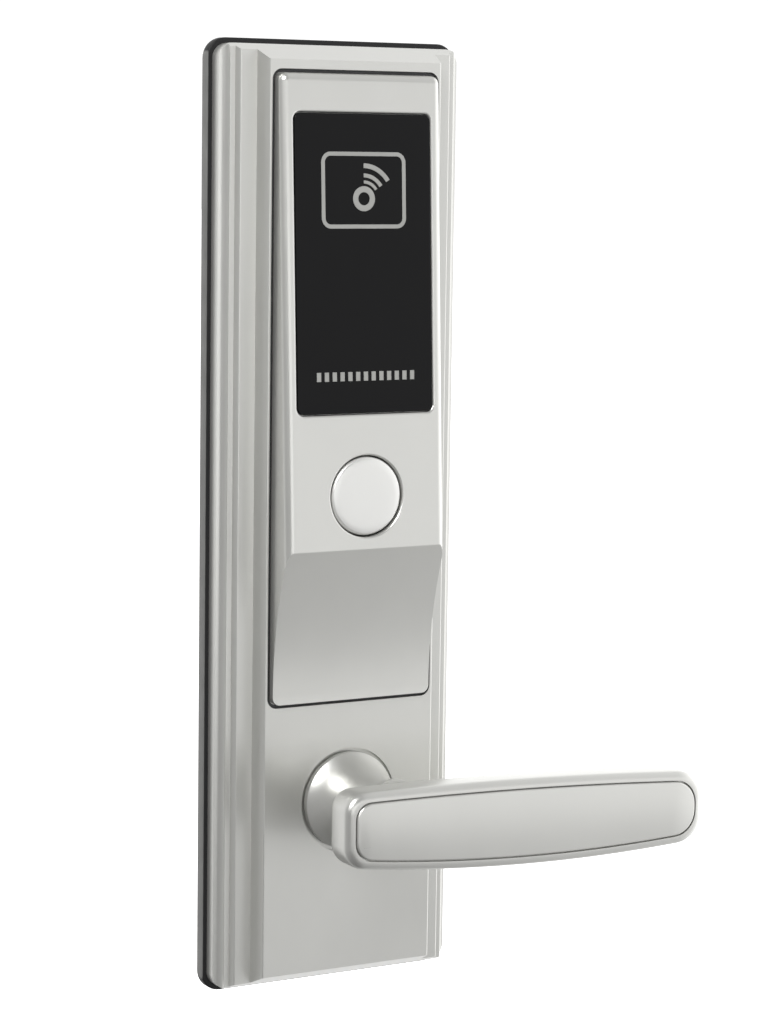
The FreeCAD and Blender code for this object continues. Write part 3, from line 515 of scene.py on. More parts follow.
class Wardrobe:
    """All finishes by their slot name."""

    def __init__(self) -> None:
        """Build every finish once."""
        self.materials = {finish.slot: finish.build() for finish in FINISHES}

    def dress(self, piece: bpy.types.Object, slot: str) -> None:
        """Give a piece one finish all over.

        Args:
            piece: The object.
            slot: The finish's name, which is the record's slot too.
        """
        if not piece.material_slots:
            piece.data.materials.append(None)
        for place in piece.material_slots:
            place.material = self.materials[slot]


# ---------------------------------------------------------------------------------------------
# Modelling
# ---------------------------------------------------------------------------------------------


class Element(Enum):
    """What a selection is made of."""

    POINT = "VERT"
    EDGE = "EDGE"
    FACE = "FACE"


@dataclass(frozen=True)
class Spot:
    """The middle of a mesh element in millimetres, and the way that it faces or runs."""

    x: float
    depth: float
    z: float
    way_depth: float
    way_z: float


def deselect_everything() -> None:
    """Leave nothing selected."""
    bpy.ops.object.select_all(action="DESELECT")


def spot_of(element: object, kind: Element) -> Spot:
    """Read where a mesh element is.

    Args:
        element: A bmesh vertex, edge or face.
        kind: Which of the three it is.

    Returns:
        Its middle and its way.
    """
    if kind is Element.FACE:
        middle, way = element.calc_center_median(), element.normal
    elif kind is Element.EDGE:
        first, second = (corner.co for corner in element.verts)
        middle, way = (first + second) / 2, (second - first).normalized()
    else:
        middle, way = element.co, element.normal
    return Spot(middle.x / MM, -middle.y / MM, middle.z / MM, -way.y, way.z)


class Workpiece:
    """One mesh object on the bench, shaped in edit mode by selections made in code."""

    def __init__(self, made: bpy.types.Object, name: str) -> None:
        """Take over a new object and fix its place in its mesh."""
        self.object = made
        made.name = name
        made.data.name = name
        self.settle()

    @classmethod
    def block(cls, name: str, low: Sequence[float], high: Sequence[float]) -> "Workpiece":
        """Add a block between two corners.

        Args:
            name: The piece's name.
            low: x, depth and z of one corner.
            high: x, depth and z of the other.

        Returns:
            The workpiece.
        """
        first, second = at(*low), at(*high)
        deselect_everything()
        bpy.ops.mesh.primitive_cube_add(size=1.0, location=(first + second) / 2)
        made = bpy.context.object
        made.scale = [abs(part) for part in second - first]
        return cls(made, name)

    @classmethod
    def rod(
        cls, name: str, radius: float, back: float, front: float, x: float = 0.0,
        z: float = 0.0, sides: int = 48,
    ) -> "Workpiece":
        """Add a round bar along the depth.

        Args:
            name: The piece's name.
            radius: Its radius.
            back: Depth where it starts.
            front: Depth where it ends.
            x: Its middle's x.
            z: Its middle's height.
            sides: Faces round it.

        Returns:
            The workpiece.
        """
        deselect_everything()
        bpy.ops.mesh.primitive_cylinder_add(
            vertices=sides,
            radius=radius * MM,
            depth=(front - back) * MM,
            location=at(x, (back + front) / 2, z),
            rotation=(math.pi / 2, 0.0, 0.0),
        )
        return cls(bpy.context.object, name)

    @classmethod
    def of_node(cls, name: str, node: str) -> "Workpiece":
        """Start from a CAD node's shape, with its loose triangles merged into one skin.

        Args:
            name: The piece's name.
            node: The CAD node.

        Returns:
            The workpiece.
        """
        made = bpy.data.objects.new(name, frame["nodes"][node].data.copy())
        bpy.context.scene.collection.objects.link(made)
        piece = cls(made, name)
        piece.open()
        bpy.ops.mesh.select_all(action="SELECT")
        bpy.ops.mesh.remove_doubles(threshold=2e-6)
        bpy.ops.mesh.customdata_custom_splitnormals_clear()
        bpy.ops.mesh.dissolve_limited(angle_limit=math.radians(0.05))
        piece.close()
        return piece

    def settle(self) -> None:
        """Move the object's place, turn and size into its mesh."""
        self.activate()
        bpy.ops.object.transform_apply(location=True, rotation=True, scale=True)

    def activate(self) -> None:
        """Make this the only selected object."""
        deselect_everything()
        self.object.select_set(True)
        bpy.context.view_layer.objects.active = self.object

    def open(self) -> None:
        """Go into edit mode with nothing selected."""
        self.activate()
        bpy.ops.object.mode_set(mode="EDIT")
        bpy.ops.mesh.select_all(action="DESELECT")

    def close(self) -> None:
        """Go back to object mode."""
        bpy.ops.object.mode_set(mode="OBJECT")

    def pick(self, kind: Element, test: Callable[[Spot], bool]) -> int:
        """Select what passes a test. The piece is in edit mode.

        Args:
            kind: Points, edges or faces.
            test: Says of a spot whether it is wanted.

        Returns:
            How many were selected.
        """
        bpy.ops.mesh.select_mode(type=kind.value)
        bpy.ops.mesh.select_all(action="DESELECT")
        mesh = bmesh.from_edit_mesh(self.object.data)
        mesh.normal_update()
        elements = {
            Element.POINT: mesh.verts,
            Element.EDGE: mesh.edges,
            Element.FACE: mesh.faces,
        }[kind]
        chosen = [element for element in elements if test(spot_of(element, kind))]
        for element in chosen:
            element.select_set(True)
        mesh.select_flush_mode()
        bmesh.update_edit_mesh(self.object.data)
        return len(chosen)

    def move(self, x: float = 0.0, depth: float = 0.0, z: float = 0.0) -> None:
        """Shift the selection by distances in millimetres."""
        bpy.ops.transform.translate(value=at(x, depth, z))

    def resize(self, factors: Sequence[float], centre: Sequence[float]) -> None:
        """Scale the selection about a point.

        Args:
            factors: Factors along x, depth and z.
            centre: x, depth and z of the fixed point.
        """
        bpy.ops.transform.resize(value=tuple(factors), center_override=at(*centre))

    def extrude(self, x: float = 0.0, depth: float = 0.0, z: float = 0.0) -> None:
        """Pull the selected faces out by distances in millimetres."""
        shift = {"value": at(x, depth, z)}
        bpy.ops.mesh.extrude_region_move(TRANSFORM_OT_translate=shift)

    def inset(self, width: float, rise: float = 0.0) -> None:
        """Inset the selected faces by a width and raise them."""
        bpy.ops.mesh.inset(thickness=width * MM, depth=rise * MM, use_even_offset=True)

    def bevel(self, width: float, segments: int = 3, profile: float = 0.5) -> None:
        """Round the selected edges.

        Args:
            width: Size of the round.
            segments: Faces across it.
            profile: Its shape, a half for a round one.
        """
        bpy.ops.mesh.bevel(
            offset=width * MM, segments=segments, profile=profile, affect="EDGES",
            clamp_overlap=True,
        )

    def divide(self, point: Sequence[float], normal: Sequence[float], **keeping: bool) -> None:
        """Cut the whole mesh with a plane.

        Args:
            point: x, depth and z of a point of the plane.
            normal: x, depth and z of its direction.
            **keeping: clear_inner, clear_outer or use_fill.
        """
        bpy.ops.mesh.select_all(action="SELECT")
        direction = Vector((normal[0], -normal[1], normal[2]))
        bpy.ops.mesh.bisect(plane_co=at(*point), plane_no=direction, **keeping)

    def tidy(self) -> None:
        """Merge doubles and point the faces outwards, in edit mode."""
        bpy.ops.mesh.select_all(action="SELECT")
        bpy.ops.mesh.remove_doubles(threshold=1e-6)
        bpy.ops.mesh.normals_make_consistent(inside=False)

    def modify(self, kind: str, **settings: object) -> None:
        """Add a modifier and apply it.

        Args:
            kind: The modifier's type.
            **settings: Its properties.
        """
        self.activate()
        modifier = self.object.modifiers.new(kind.title(), kind)
        for key, setting in settings.items():
            setattr(modifier, key, setting)
        bpy.ops.object.modifier_apply(modifier=modifier.name)

    def combine(self, other: "Workpiece", operation: str) -> None:
        """Join or cut with another workpiece, which is used up.

        Args:
            other: The other workpiece.
            operation: UNION, DIFFERENCE or INTERSECT.
        """
        self.modify("BOOLEAN", operation=operation, object=other.object, solver="EXACT")
        bpy.data.objects.remove(other.object)

    def soften(self, width: float, segments: int = 2, angle: float = 35.0) -> None:
        """Round every edge that is sharper than an angle.

        Args:
            width: Size of the round.
            segments: Faces across it.
            angle: Smallest angle that is rounded, in degrees.
        """
        self.modify(
            "BEVEL", width=width * MM, segments=segments, limit_method="ANGLE",
            angle_limit=math.radians(angle), miter_outer="MITER_ARC",
        )

    def smooth(self, angle: float = 32.0) -> None:
        """Shade smooth except across edges sharper than an angle."""
        self.activate()
        bpy.ops.object.shade_smooth_by_angle(angle=math.radians(angle))

    def even(self, angle: float = 30.0) -> None:
        """Shade smooth by angle, with flat faces kept flat between their rounds."""
        self.smooth(angle)
        self.modify("WEIGHTED_NORMAL", keep_sharp=True, weight=90)

    def lean(self) -> None:
        """Tip the piece from upright onto the housing's leaning face."""
        pivot = at(0.0, BREAK_DEPTH, BREAK_HEIGHT)
        turn = Matrix.Rotation(-FACE_TILT, 4, "X")
        self.object.matrix_world = Matrix.Translation(pivot) @ turn @ Matrix.Translation(-pivot)
        self.settle()

    def copy(self, name: str, shift: Vector) -> "Workpiece":
        """Copy the piece with its own mesh.

        Args:
            name: The copy's name.
            shift: How far it stands from the first, in metres.

        Returns:
            The copy.
        """
        twin = self.object.copy()
        twin.data = self.object.data.copy()
        bpy.context.scene.collection.objects.link(twin)
        twin.location = shift
        return Workpiece(twin, name)


class Assembly:
    """Base of the sub-assemblies: hands finished pieces to the frame."""

    def __init__(self, wardrobe: Wardrobe) -> None:
        """Keep the finishes at hand."""
        self.wardrobe = wardrobe

    def deliver(self, piece: Workpiece, slot: str, body: str, *nodes: str) -> None:
        """Dress a piece, set it on its body and hide the CAD nodes that it replaces.

        Args:
            piece: The finished workpiece.
            slot: Its finish.
            body: The body that it rides on.
            *nodes: The CAD nodes that it replaces.
        """
        self.wardrobe.dress(piece.object, slot)
        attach(piece.object, body)
        if nodes:
            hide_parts(*nodes)
        log.info("%s rides on %s in %s", piece.object.name, body, slot)


# ---------------------------------------------------------------------------------------------
# The lever
# ---------------------------------------------------------------------------------------------


@dataclass
class LeverShape:
    """Sizes of the handle."""

    left: float = -21.2
    right: float = 105.6
    back: float = 45.0
    front: float = 57.0
    top: float = 10.8
    top_end: float = 6.2
    low: float = -11.4
    low_end: float = -15.6
    top_bow: float = 1500.0
    low_bow: float = 620.0
    left_corner: float = 5.0
    right_corner: float = 7.0
    corner_room: float = 9.0
    columns: int = 22

    def share(self, x: float) -> float:
        """How far along the arm a place is, from nought to one."""
        return (x - self.left) / (self.right - self.left)

    def bow(self, x: float, radius: float) -> float:
        """Height of a shallow arc over its chord."""
        middle, half = (self.left + self.right) / 2, (self.right - self.left) / 2
        reach = x - middle
        return (half * half - reach * reach) / (2 * radius)

    def top_at(self, x: float) -> float:
        """Height of the top edge at a place along the arm."""
        return self.top + (self.top_end - self.top) * self.share(x) + self.bow(x, self.top_bow)

    def low_at(self, x: float) -> float:
        """Height of the bottom edge at a place along the arm."""
        return self.low + (self.low_end - self.low) * self.share(x) - self.bow(x, self.low_bow)


class Lever(Assembly):
    """The handle: a waisted neck under a flat arm with a framed panel."""

    shape = LeverShape()

    def plate(self, name: str, inset: float, back: float, front: float) -> Workpiece:
        """Make a slab of the arm's outline, set in from its edge.

        Args:
            name: The piece's name.
            inset: Distance from the arm's edge.
            back: Depth where it starts.
            front: Depth where it ends.

        Returns:
            The workpiece, with round corners and sharp rims.
        """
        shape = self.shape
        left, right = shape.left + inset, shape.right - inset
        piece = Workpiece.block(name, (left, back, -1.0), (right, front, 1.0))
        piece.open()
        first, last = left + shape.corner_room, right - shape.corner_room
        steps = range(shape.columns + 1)
        cuts = [first + (last - first) * number / shape.columns for number in steps]
        for x in cuts:
            piece.divide((x, 0.0, 0.0), (1.0, 0.0, 0.0))
        for x in (left, *cuts, right):
            for sign, target in ((1, shape.top_at(x) - inset), (-1, shape.low_at(x) + inset)):
                piece.pick(
                    Element.POINT,
                    lambda s, x=x, sign=sign: abs(s.x - x) < 0.01 and s.z * sign > 0
                    and abs(abs(s.z) - 1.0) < 1e-4,
                )
                piece.move(z=target - sign)
        for end, radius in ((left, shape.left_corner), (right, shape.right_corner)):
            piece.pick(
                Element.EDGE,
                lambda s, end=end: abs(s.x - end) < 0.01 and abs(s.way_depth) > 0.9,
            )
            piece.bevel(max(radius + 1.0 - inset / 3, 1.0), 8)
        piece.tidy()
        piece.close()
        return piece

    @staticmethod
    def roll_rim(piece: Workpiece, facing: float, width: float, steps: int = 5) -> None:
        """Roll a flat side of the arm over into a round rim.

        Args:
            piece: The arm, in edit mode.
            facing: One for the front side, minus one for the back side.
            width: Radius of the round.
            steps: Faces across it.
        """
        piece.pick(Element.FACE, lambda s: s.way_depth * facing > 0.9)
        turns = [math.pi / 2 * step / steps for step in range(steps + 1)]
        for before, after in zip(turns, turns[1:]):
            narrower = width * (math.cos(before) - math.cos(after))
            further = width * (math.sin(after) - math.sin(before))
            piece.inset(narrower, further)

    def neck(self) -> Workpiece:
        """Make the round neck that widens to the plate and runs into the arm's back.

        Returns:
            The neck as one closed piece.
        """
        rings = (
            (18.0, 14.6), (18.4, 15.0), (20.2, 15.0), (20.8, 14.5), (22.0, 13.55),
            (23.6, 12.6), (25.6, 11.75), (28.0, 11.0), (31.0, 10.4), (34.0, 10.07),
            (37.0, 9.92), (40.0, 9.92), (42.4, 10.1), (43.8, 10.45), (44.7, 11.0),
            (45.2, 11.6), (47.0, 11.6),
        )
        piece = Workpiece.rod("lever_neck", rings[0][1], 17.9, rings[0][0], sides=72)
        piece.open()
        piece.pick(Element.FACE, lambda s: s.way_depth > 0.9)
        for (depth, radius), (next_depth, next_radius) in zip(rings, rings[1:]):
            piece.extrude(depth=next_depth - depth)
            factor = next_radius / radius
            piece.resize((factor, 1.0, factor), (0.0, next_depth, 0.0))
        piece.close()
        return piece

    def build(self) -> None:
        """Make the handle and its panel."""
        shape = self.shape
        front_round, back_round = 2.4, 3.0
        arm = self.plate(
            "lever_handle", 0.0, shape.back + back_round, shape.front - front_round
        )
        arm.open()
        self.roll_rim(arm, 1.0, front_round)
        self.roll_rim(arm, -1.0, back_round)
        arm.tidy()
        arm.close()
        seat = self.plate("panel_seat", 2.7, shape.front - 1.4, shape.front + 2.0)
        arm.combine(seat, "DIFFERENCE")
        arm.combine(self.neck(), "UNION")
        arm.combine(Workpiece.rod("neck_bore", 9.5, 10.0, 29.0), "DIFFERENCE")
        arm.smooth(30.0)
        self.deliver(arm, "satin_cast", "lever", "lever_body")

        panel = self.plate("lever_panel", 3.1, shape.front - 1.38, shape.front + 0.3)
        panel.soften(0.55, 4, 40.0)
        panel.smooth(40.0)
        self.deliver(panel, "satin_panel", "lever", "lever_inlay")


# ---------------------------------------------------------------------------------------------
# The castings and the reader's face
# ---------------------------------------------------------------------------------------------


class Castings(Assembly):
    """The stepped plate, the reader's housing on it and a dark strip between them that is painted
    shade.
    """

    def seal(self) -> None:
        """Lay a dark strip in the groove that runs round the housing, as painted shade in the gap.
        """
        # Painted shade: a thin near-black strip on the groove floor darkens the gap round the
        # housing where shade falls.
        half, bottom, top = 27.0, 31.5, 219.5
        groove_floor, reach, thick = 17.7, 1.12, 0.5
        back = groove_floor + 0.05
        seal = Workpiece.block(
            "housing_seal",
            (-half - reach, back, bottom - reach), (half + reach, back + thick, top + reach),
        )
        seal.open()
        seal.pick(Element.EDGE, lambda s: abs(s.way_depth) > 0.9)
        seal.bevel(3.1, 8)
        seal.pick(Element.FACE, lambda s: abs(s.way_depth) > 0.9)
        seal.inset(1.0)
        bpy.ops.mesh.bridge_edge_loops()
        seal.tidy()
        seal.close()
        seal.soften(0.12, 2, 50.0)
        seal.smooth(40.0)
        self.deliver(seal, "dark_plastic", "escutcheon")

    def build(self) -> None:
        """Make the three pieces."""
        shells = {"stepped_plate": "escutcheon_plate", "reader_shell": "reader_housing"}
        for name, node in shells.items():
            shell = Workpiece.of_node(name, node)
            shell.even(28.0)
            self.deliver(shell, "satin_cast", "escutcheon", node)
        self.seal()


class ReaderFace(Assembly):
    """The dark window, and the round cap under it."""

    def window(self) -> None:
        """Make the pane with a rounded outline and a polished edge."""
        low, high = BREAK_HEIGHT + 40.4, BREAK_HEIGHT + 129.4
        back, front = BREAK_DEPTH - 1.5, BREAK_DEPTH
        half = 22.95
        corners = (-half, back, low + 0.15), (half, front, high - 0.15)
        pane = Workpiece.block("reader_pane", *corners)
        pane.open()
        pane.pick(Element.EDGE, lambda s: abs(s.way_depth) > 0.9)
        pane.bevel(2.1, 8)
        pane.pick(Element.FACE, lambda s: s.way_depth > 0.9)
        pane.inset(0.3)
        pane.close()
        pane.soften(0.22, 3, 50.0)
        pane.smooth(40.0)
        pane.lean()
        self.deliver(pane, "window_black", "escutcheon", "reader_window")

    def cap(self) -> None:
        """Make the pull-off cap: a shallow dome with a rolled edge and a thin skirt."""
        low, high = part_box("key_cover_cap")
        middle = (low + high) / 2
        height = middle.z / MM
        front, back = -low.y / MM, -high.y / MM
        radius = (high.x - low.x) / 2 / MM
        cap = Workpiece.rod("key_cap", radius, back, front - 1.1, 0.0, height, 72)
        cap.open()
        cap.pick(Element.FACE, lambda s: s.way_depth > 0.9)
        rolled_edge = ((0.15, 0.45), (0.3, 0.32), (0.45, 0.15))
        dome = ((1.6, 0.08), (3.0, 0.07), (3.4, 0.03))
        for width, rise in rolled_edge + dome:
            cap.inset(width, rise)
        cap.pick(Element.FACE, lambda s: s.way_depth < -0.9)
        cap.inset(1.0)
        cap.extrude(depth=front - 1.6 - back)
        cap.tidy()
        cap.close()
        cap.smooth(40.0)
        self.deliver(cap, "cap_light", "cap", "key_cover_cap")

    def build(self) -> None:
        """Make both pieces."""
        self.window()
        self.cap()


# ---------------------------------------------------------------------------------------------
# Behind the plate
# ---------------------------------------------------------------------------------------------


class DoorSeal(Assembly):
    """The rubber band between the plate and the door."""

    def build(self) -> None:
        """Make the band with its rolled outer edge."""
        low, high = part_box("back_gasket")
        half, top, bottom = high.x / MM, high.z / MM, low.z / MM
        thick = 4.5
        seal = Workpiece.block("door_seal", (-half, 0.0, bottom), (half, thick, top))
        seal.open()
        seal.pick(Element.EDGE, lambda s: abs(s.way_depth) > 0.9)
        seal.bevel(6.2, 10)
        seal.pick(Element.FACE, lambda s: abs(s.way_depth) > 0.9)
        seal.inset(6.2)
        bpy.ops.mesh.bridge_edge_loops()
        for rim, width, steps in ((0.0, 1.6, 5), (thick, 0.45, 3)):
            seal.pick(
                Element.EDGE,
                lambda s, rim=rim: abs(s.depth - rim) < 0.01 and self.outer(s, half, top, bottom),
            )
            seal.bevel(width, steps)
        seal.tidy()
        seal.close()
        seal.smooth(40.0)
        self.deliver(seal, "gasket_rubber", "escutcheon", "back_gasket")

    @staticmethod
    def outer(spot: Spot, half: float, top: float, bottom: float) -> bool:
        """Say whether an edge lies on the band's outline."""
        return abs(spot.x) > half - 3.0 or spot.z > top - 3.0 or spot.z < bottom + 3.0


@dataclass(frozen=True)
class Solid:
    """One separate solid of a CAD node, by its box in millimetres."""

    x: float
    z: float
    back: float
    front: float
    width: float
    height: float


def solids_of(node: str) -> list[Solid]:
    """Find the separate solids of a CAD node.

    Args:
        node: The node's name.

    Returns:
        Their boxes, ordered by height and then by x.
    """
    mesh = bmesh.new()
    mesh.from_mesh(frame["nodes"][node].data)
    bmesh.ops.remove_doubles(mesh, verts=mesh.verts, dist=1e-6)
    left = set(mesh.verts)
    found = []
    while left:
        start = left.pop()
        group, edge_of_group = [start], [start]
        while edge_of_group:
            corner = edge_of_group.pop()
            for link in corner.link_edges:
                other = link.other_vert(corner)
                if other in left:
                    left.remove(other)
                    group.append(other)
                    edge_of_group.append(other)
        spans = [
            (min(v.co[axis] for v in group) / MM, max(v.co[axis] for v in group) / MM)
            for axis in range(3)
        ]
        (x0, x1), (y0, y1), (z0, z1) = spans
        found.append(Solid((x0 + x1) / 2, (z0 + z1) / 2, -y1, -y0, x1 - x0, z1 - z0))
    mesh.free()
    return sorted(found, key=lambda solid: (round(solid.z, 2), solid.x))


class Fasteners(Assembly):
    """Pan-head screws and the threaded posts that reach into the door."""

    screw_rows = {
        "back_plate_screws": "plate_screw",
        "housing_screws": "housing_screw",
        "board_screws": "board_screw",
        "keeper_screws": "keeper_screw",
    }

    def screw(self, name: str, back: float, front: float) -> Workpiece:
        """Make one screw on the lever's axis, its head at the back.

        Args:
            name: The piece's name.
            back: Depth of the head's top.
            front: Depth of the tip.

        Returns:
            The workpiece.
        """
        head_radius, shank_radius, head_height, half_pitch = 2.68, 1.38, 1.2, 0.3
        seat = back + head_height
        piece = Workpiece.rod(name, head_radius, back + 0.45, seat, sides=20)
        piece.open()
        piece.pick(Element.FACE, lambda s: s.way_depth < -0.9)
        for width, rise in ((0.25, 0.25), (0.5, 0.15), (0.7, 0.05)):
            piece.inset(width, rise)
        piece.pick(Element.FACE, lambda s: s.way_depth > 0.9)
        piece.inset(head_radius - shank_radius)
        depth = seat
        while depth + 2 * half_pitch < front - 0.6:
            for factor in (0.82, 1 / 0.82):
                piece.extrude(depth=half_pitch)
                depth += half_pitch
                piece.resize((factor, 1.0, factor), (0.0, depth, 0.0))
        piece.extrude(depth=front - depth)
        piece.resize((0.55, 1.0, 0.55), (0.0, front, 0.0))
        piece.close()
        cross = Workpiece.block("cross", (-1.5, back - 0.5, -0.28), (1.5, back + 0.8, 0.28))
        bar = Workpiece.block("bar", (-0.28, back - 0.5, -1.5), (0.28, back + 0.8, 1.5))
        cross.combine(bar, "UNION")
        piece.combine(cross, "DIFFERENCE")
        piece.smooth(35.0)
        return piece

    def post(self, name: str, solid: Solid) -> Workpiece:
        """Make one fixing post on the lever's axis: collar, thread and bore.

        Args:
            name: The piece's name.
            solid: The CAD post's box.

        Returns:
            The workpiece.
        """
        collar, radius, half_pitch = solid.width / 2, 4.0, 0.55
        piece = Workpiece.rod(name, collar, 0.0, solid.front, sides=36)
        piece.open()
        piece.pick(Element.FACE, lambda s: s.way_depth < -0.9)
        piece.inset(collar - radius)
        depth = -2.4
        piece.extrude(depth=depth)
        while depth - 2 * half_pitch > solid.back + 1.0:
            for factor in (0.88, 1 / 0.88):
                piece.extrude(depth=-half_pitch)
                depth -= half_pitch
                piece.resize((factor, 1.0, factor), (0.0, depth, 0.0))
        piece.extrude(depth=solid.back - depth)
        piece.resize((0.84, 1.0, 0.84), (0.0, solid.back, 0.0))
        piece.inset(radius * 0.84 - 2.5)
        piece.extrude(depth=0.5)
        piece.resize((0.84, 1.0, 0.84), (0.0, solid.back + 0.5, 0.0))
        piece.extrude(depth=17.5)
        piece.close()
        piece.smooth(35.0)
        return piece

    def build(self) -> None:
        """Make every screw and post where its CAD solid is."""
        for node, name in self.screw_rows.items():
            self.row(node, name, lambda solid: self.screw("screw", solid.back, solid.front))
        self.row("fixing_posts", "fixing_post", lambda solid: self.post("post", solid))

    def row(self, node: str, name: str, make: Callable[[Solid], Workpiece]) -> None:
        """Make a part once and copy it to every solid of a node.

        Args:
            node: The CAD node.
            name: The pieces' name, which is given a number.
            make: Makes the part on the lever's axis.
        """
        solids = solids_of(node)
        first = make(solids[0])
        for number, solid in enumerate(solids, 1):
            twin = first.copy(f"{name}_{number}", at(solid.x, 0.0, solid.z))
            self.deliver(twin, "zinc_steel", "escutcheon", node)
        bpy.data.objects.remove(first.object)


class LockDrive(Assembly):
    """What turns the lock behind the plate: the square bar, the key's tail and the spring."""

    def spindle(self) -> None:
        """Make the square bar with broken edges and a tapered end."""
        low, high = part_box("spindle_bar")
        side, back, front = high.x / MM, -high.y / MM, -low.y / MM
        bar = Workpiece.block("square_spindle", (-side, back + 3.0, -side), (side, front, side))
        bar.open()
        bar.pick(Element.EDGE, lambda s: abs(s.way_depth) > 0.9)
        bar.bevel(0.55, 3)
        bar.pick(Element.FACE, lambda s: s.way_depth < -0.9)
        for reach, factor in ((-2.2, 0.97), (-0.8, 0.84)):
            bar.extrude(depth=reach)
            bar.resize((factor, 1.0, factor), (0.0, back, 0.0))
        bar.inset(0.5, 0.0)
        bar.close()
        bar.soften(0.12, 2, 40.0)
        bar.smooth(35.0)
        self.deliver(bar, "zinc_steel", "spindle", "spindle_bar")

    def tail(self) -> None:
        """Make the flat tail with its snap-off notches."""
        low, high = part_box("cylinder_tailpiece")
        half, back, front = high.x / MM, -high.y / MM, -low.y / MM
        foot, head = low.z / MM, high.z / MM
        tail = Workpiece.block("key_tail", (-half, back, foot), (half, front, head))
        tail.open()
        step, groove = 6.0, 0.5
        notches = [back + step * number for number in range(1, 6)]
        for notch in notches:
            for reach in (-groove, 0.0, groove):
                tail.divide((0.0, notch + reach, 0.0), (0.0, 1.0, 0.0))
        for notch in notches:
            tail.pick(Element.POINT, lambda s, notch=notch: abs(s.depth - notch) < 0.01)
            tail.resize((0.86, 1.0, 0.6), (0.0, notch, (foot + head) / 2))
        tail.pick(Element.EDGE, lambda s: abs(s.depth - back) < 0.01 and abs(s.way_z) > 0.9)
        tail.bevel(2.2, 5)
        tail.close()
        tail.soften(0.15, 2, 50.0)
        tail.smooth(35.0)
        self.deliver(tail, "zinc_steel", "key_plug", "cylinder_tailpiece")

    def spring(self) -> None:
        """Wind the return spring round the sleeve."""
        low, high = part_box("return_spring")
        back, front = -high.y / MM, -low.y / MM
        wire, turns, pitch = 0.6, 2.0, 1.3
        deselect_everything()
        bpy.ops.mesh.primitive_circle_add(
            vertices=14, radius=wire * MM, location=at(10.9, front - wire, 0.0)
        )
        coil = Workpiece(bpy.context.object, "return_coil")
        steps = int(40 * turns)
        coil.modify(
            "SCREW", axis="Y", angle=math.tau * turns, screw_offset=pitch * turns * MM,
            steps=steps, render_steps=steps, use_normal_calculate=True,
        )
        coil.open()
        bpy.ops.mesh.select_all(action="SELECT")
        bpy.ops.mesh.region_to_loop()
        bpy.ops.mesh.fill_holes(sides=0)
        coil.tidy()
        coil.close()
        coil.smooth(50.0)
        log.info("coil from %.1f to %.1f deep", back, front)
        self.deliver(coil, "spring_steel", "escutcheon", "return_spring")

    def build(self) -> None:
        """Make the three pieces."""
        self.spindle()
        self.tail()
        self.spring()


# ---------------------------------------------------------------------------------------------
# Carried-over nodes
# ---------------------------------------------------------------------------------------------


class CarriedNodes(Assembly):
    """CAD nodes that stay as they are and get a better finish."""

    def build(self) -> None:
        """Dress every node by the record's slots."""
        for part in frame["record"]["subparts"]:
            name, slot = part["node"], part["material_slot"]
            self.wardrobe.dress(frame["nodes"][name], slot)
            log.info("node %s is dressed in %s", name, slot)


# ---------------------------------------------------------------------------------------------
# Studio
# ---------------------------------------------------------------------------------------------


@dataclass(frozen=True)
class SoftBox:
    """One soft studio lamp."""

    name: str
    place: tuple[float, float, float]
    target: tuple[float, float, float]
    size: tuple[float, float]
    power: float

    def build(self) -> None:
        """Hang the lamp and aim it."""
        data = bpy.data.lights.new(self.name, "AREA")
        data.shape = "RECTANGLE"
        data.size, data.size_y = self.size
        data.energy = self.power
        lamp = bpy.data.objects.new(self.name, data)
        bpy.context.scene.collection.objects.link(lamp)
        lamp.location = self.place
        aim = Vector(self.target) - Vector(self.place)
        lamp.rotation_mode = "QUATERNION"
        lamp.rotation_quaternion = aim.to_track_quat("-Z", "Y")


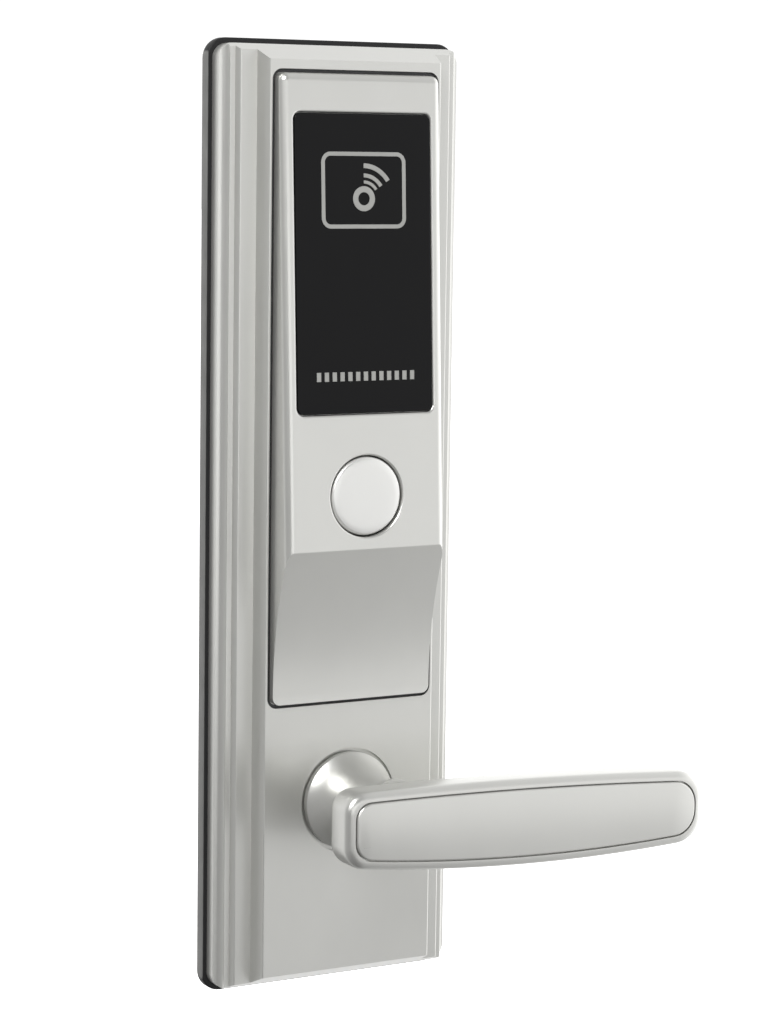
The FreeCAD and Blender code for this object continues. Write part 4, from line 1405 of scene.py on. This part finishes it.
class Studio:
    """Camera, floor, surroundings and lamps."""

    lens: float = 104.42
    camera_place = (-0.4332, -0.7971, 0.1983)
    camera_target = (0.02206, 0.0, 0.0854)
    camera_roll: float = 0.78
    floor_height: float = -0.30
    room_levels = ((0.45, 2.6), (0.12, 1.9), (0.2, 0.3))
    lamps = (
        SoftBox("left_high", (-1.1, -0.9, 1.3), (0.0, 0.0, 0.08), (1.0, 1.0), 35.0),
        SoftBox("front_low", (-0.2, -1.8, 0.1), (0.0, 0.0, 0.08), (1.4, 0.8), 5.6),
        SoftBox("right_front", (1.0, -1.6, 0.05), (0.0, 0.0, 0.08), (1.4, 1.0), 1.8),
    )

    def camera(self) -> None:
        """Place the camera."""
        data = bpy.data.cameras.new("camera")
        data.lens = self.lens
        data.clip_start = 0.05
        data.clip_end = 60.0
        camera = bpy.data.objects.new("camera", data)
        bpy.context.scene.collection.objects.link(camera)
        place, target = Vector(self.camera_place), Vector(self.camera_target)
        aim = (target - place).to_track_quat("-Z", "Y")
        turn = Matrix.Rotation(math.radians(self.camera_roll), 4, "Z")
        camera.matrix_world = Matrix.Translation(place) @ aim.to_matrix().to_4x4() @ turn
        bpy.context.scene.camera = camera

    def floor(self) -> None:
        """Lay a plain pale floor."""
        deselect_everything()
        bpy.ops.mesh.primitive_plane_add(size=40.0, location=(0.0, 0.0, self.floor_height))
        floor = bpy.context.object
        floor.name = "floor"
        graph = ShaderGraph.of_material("floor_white")
        floor.data.materials.append(
            graph.close(
                {
                    "Base Color": (0.8, 0.8, 0.8, 1.0),
                    "Roughness": 0.9,
                    "Specular IOR Level": 0.0,
                    "Emission Color": (1.0, 1.0, 1.0, 1.0),
                    "Emission Strength": 1.0,
                }
            )
        )
        floor.visible_diffuse = False
        floor.visible_glossy = False
        floor.visible_shadow = False

    def surroundings(self) -> None:
        """Give a room of soft light, uneven round the object, and a white ground for the view."""
        world = bpy.data.worlds.new("studio")
        bpy.context.scene.world = world
        graph = ShaderGraph(world)
        direction = graph.node("TexCoord").outputs["Generated"]
        split = graph.node("SeparateXYZ", None, {0: direction})
        level: Union[Signal, float] = 0.0
        for output, (below, above) in zip(split.outputs, self.room_levels):
            along = Signal(graph, output)
            side = along > 0.0
            level = along * along * (side * (above - below) + below) + level
        room = graph.node("Background", None, {"Strength": level})
        ground = graph.node("Background", None, {"Color": (1.0,) * 4, "Strength": 1.1})
        seen = graph.node("LightPath").outputs["Is Camera Ray"]
        shaders = {0: seen, 1: room.outputs[0], 2: ground.outputs[0]}
        mix = graph.node("MixShader", None, shaders)
        graph.node("OutputWorld", None, {"Surface": mix.outputs[0]})

    def build(self) -> None:
        """Set up the whole studio."""
        bpy.context.scene.view_settings.view_transform = "Standard"
        self.camera()
        self.floor()
        self.surroundings()
        for lamp in self.lamps:
            lamp.build()


def main() -> None:
    """Build the pieces and the studio in order."""
    logging.basicConfig(level=logging.INFO, format="%(message)s")
    wardrobe = Wardrobe()
    for assembly in (CarriedNodes, DoorSeal, Castings, ReaderFace, Lever, Fasteners, LockDrive):
        assembly(wardrobe).build()
        log.info("%s is done", assembly.__name__)
    Studio().build()


if __name__ == "__main__":
    main()
